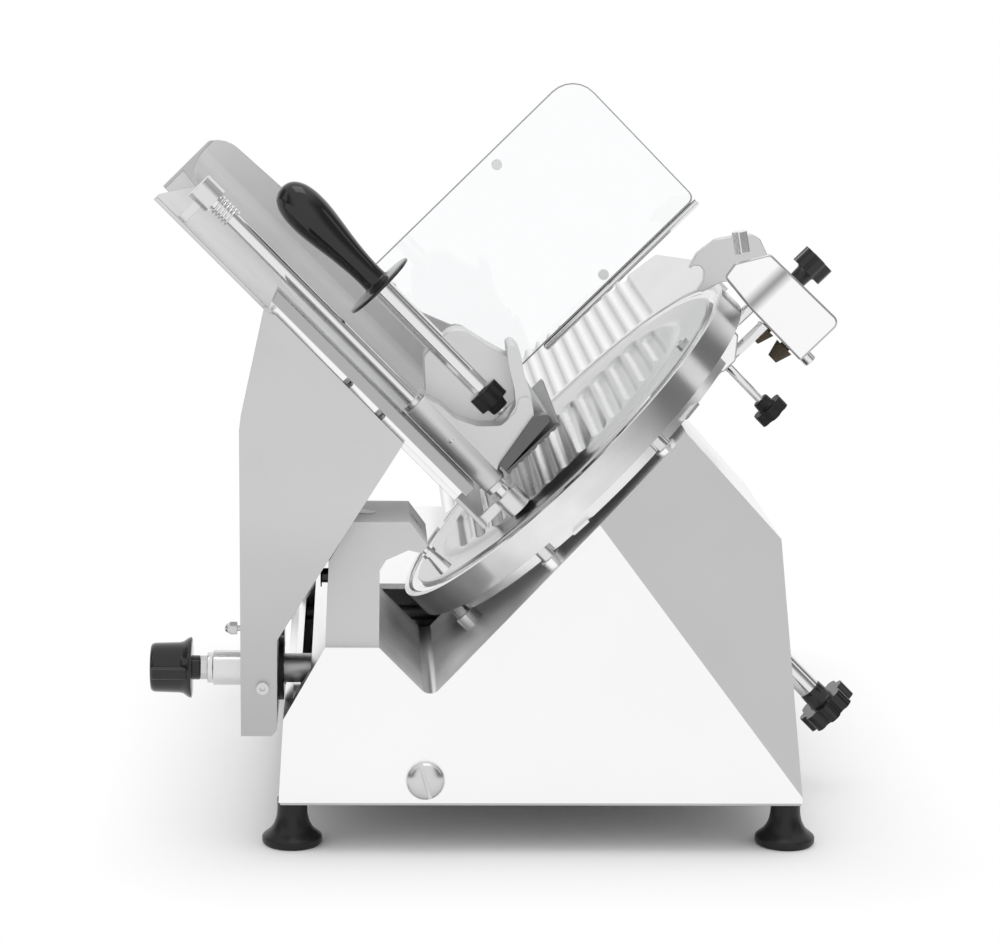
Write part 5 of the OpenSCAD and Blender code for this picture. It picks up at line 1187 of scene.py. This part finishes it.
def gauge_plate():
    """The fluted plate behind the blade, its rolled edges, and the block on its back."""
    high_u, low_u = GAUGE_FAR_EDGE[0][0], GAUGE_FAR_EDGE[-1][0]
    drop, roll = GAUGE_ROLL

    def spot(x, y):
        u = low_u + (x + 1) / 2 * (high_u - low_u)
        near = gauge_near_edge(u)
        v = near + (y + 1) / 2 * (gauge_far_edge(u) - near)
        inside = min(u - low_u, high_u - u, v - near)
        return Vector((u, v, gauge_height(u, v) - drop * (1 - soft_step(inside, 0.0, roll))))

    sheet = walled(sheet_grid(*GAUGE_GRID, spot), GAUGE_BACK)
    form = joined(sheet, slab(rounded(GAUGE_BLOCK, 4), GAUGE_BLOCK_LOW, GAUGE_BACK))
    mark_slopes(form, gauge_height, GAUGE_BASE)
    seated(form, BLADE_FRAME)
    add_piece("gauge_plate_form", form, ["gauge_fluted"], "gauge_plate", smooth=50)


def round_blade():
    form = seated(spun(BLADE_PROFILE, steps=192), BLADE_FRAME)
    add_piece("blade_form", form, ["blade_metal"], "blade", smooth=20)


# Camera, light and floor

def look_along(turn, pitch, roll, centre):
    """A camera matrix from its turn about Z, its downward pitch and its roll, in degrees."""
    a, e, r = (math.radians(v) for v in (turn, pitch, roll))
    ahead = Vector((math.sin(a) * math.cos(e), math.cos(a) * math.cos(e), -math.sin(e)))
    right = Vector((math.cos(a), -math.sin(a), 0.0))
    up = right.cross(ahead)
    side = right * math.cos(r) + up * math.sin(r)
    top = up * math.cos(r) - right * math.sin(r)
    return Matrix.LocRotScale(centre, Matrix((side, top, -ahead)).transposed(), None)


def photo_camera():
    data = bpy.data.cameras.new("camera")
    data.lens = CAMERA_LENS
    data.sensor_width = CAMERA_SENSOR
    data.clip_start = 0.05
    data.clip_end = 50.0
    camera = bpy.data.objects.new("camera", data)
    bpy.context.scene.collection.objects.link(camera)
    camera.matrix_world = look_along(CAMERA_TURN, CAMERA_PITCH, CAMERA_ROLL, place(*CAMERA_AT))
    bpy.context.scene.camera = camera


def soft_lamp(name, at, target, size, power):
    """A rectangular lamp, in metres and watts, that looks at a target."""
    data = bpy.data.lights.new(name, "AREA")
    data.shape = "RECTANGLE"
    data.size, data.size_y = size
    data.energy = power
    obj = bpy.data.objects.new(name, data)
    bpy.context.scene.collection.objects.link(obj)
    obj.location = at
    obj.rotation_euler = (Vector(target) - Vector(at)).to_track_quat("-Z", "Y").to_euler()


def studio_lamps():
    soft_lamp("top_light", at=(0.1, -0.3, 2.0), target=(0, 0, 0.2), size=(1.0, 1.0), power=5.0)
    soft_lamp("left_light", at=(-1.9, -1.0, 1.3), target=(0, 0, 0.25), size=(0.7, 1.4), power=2.5)
    soft_lamp("right_light", at=(1.9, -0.6, 1.2), target=(0, 0, 0.25), size=(0.5, 1.2), power=1.5)


def seen_directly(tree):
    """1 for what the camera sees itself, in a reflection or through clear sheet, and 0 for light."""
    path = tree.nodes.new("ShaderNodeLightPath").outputs
    return larger(tree, path["Is Camera Ray"], larger(
        tree, path["Is Glossy Ray"], path["Is Transmission Ray"]))


def studio_floor():
    """A white sweep that keeps the machine's shadow and runs out to plain white around it."""
    shadow_reach, fade = 0.13, 0.7
    bm = bmesh.new()
    bmesh.ops.create_grid(bm, x_segments=1, y_segments=1, size=8.0)
    mesh = bpy.data.meshes.new("floor")
    bm.to_mesh(mesh)
    bm.free()
    material = bpy.data.materials.new("floor_paper")
    material.use_nodes = True
    tree = material.node_tree
    shader = tree.nodes["Principled BSDF"]
    shader.inputs["Base Color"].default_value = colour(0.93)
    shader.inputs["Roughness"].default_value = 0.85
    shader.inputs["Specular IOR Level"].default_value = 0.1
    plain = tree.nodes.new("ShaderNodeEmission")
    plain.inputs["Color"].default_value = colour(1.0)
    coordinate = tree.nodes.new("ShaderNodeTexCoord")
    axes = axes_of(tree, coordinate.outputs["Object"])
    low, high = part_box("base_plate")
    squares = []
    for axis in (0, 1):
        middle = (low[axis] + high[axis]) / 2
        half = (high[axis] - low[axis]) / 2
        offset = math_node(tree, "ABSOLUTE", minus(tree, axes[axis], middle))
        outside = larger(tree, minus(tree, offset, half), 0.0)
        squares.append(times(tree, outside, outside))
    distance = math_node(tree, "SQRT", plus(tree, *squares))
    away = math_node(tree, "POWER", range_node(tree, distance, 0.0, shadow_reach), fade)
    mix_shaders(tree, times(tree, away, seen_directly(tree)), shader, plain, "Material Output")
    mesh.materials.append(material)
    obj = bpy.data.objects.new("floor", mesh)
    bpy.context.scene.collection.objects.link(obj)


def studio_world():
    """White behind the machine, and a darker room at its sides that only the metal shows."""
    room_tone, side_tone = 0.84, 0.22
    world = bpy.data.worlds.new("studio")
    bpy.context.scene.world = world
    world.use_nodes = True
    tree = world.node_tree
    room = tree.nodes["Background"]
    room.inputs["Color"].default_value = colour(room_tone)
    room.inputs["Strength"].default_value = 1.0
    white = tree.nodes.new("ShaderNodeBackground")
    coordinate = tree.nodes.new("ShaderNodeTexCoord")
    x, y, z = axes_of(tree, coordinate.outputs["Generated"])
    aside = range_node(tree, math_node(tree, "ABSOLUTE", x), 0.42, 0.70)
    fore = range_node(tree, y, 0.55, 0.30)
    below_overhead = range_node(tree, z, 0.80, 0.62)
    bright = minus(tree, 1.0, times(tree, aside, times(tree, fore, below_overhead)))
    path = tree.nodes.new("ShaderNodeLightPath")
    bright = larger(tree, bright, path.outputs["Is Camera Ray"])
    tree.links.new(mix_colour(tree, bright, colour(side_tone), colour(1.0)), white.inputs["Color"])
    mix_shaders(tree, seen_directly(tree), room, white, "World Output")


base_form()
broken_edges()
guard_form()
hand_grip()
lock_knob()
sharpener()
clamp_block()
pusher_casting()
grip_plate()
rod_spring()
rubber_feet()
blade_cover()
gauge_plate()
round_blade()
star_knobs()
photo_camera()
studio_lamps()
studio_floor()
studio_world()

bpy.context.scene.view_settings.view_transform = "Standard"
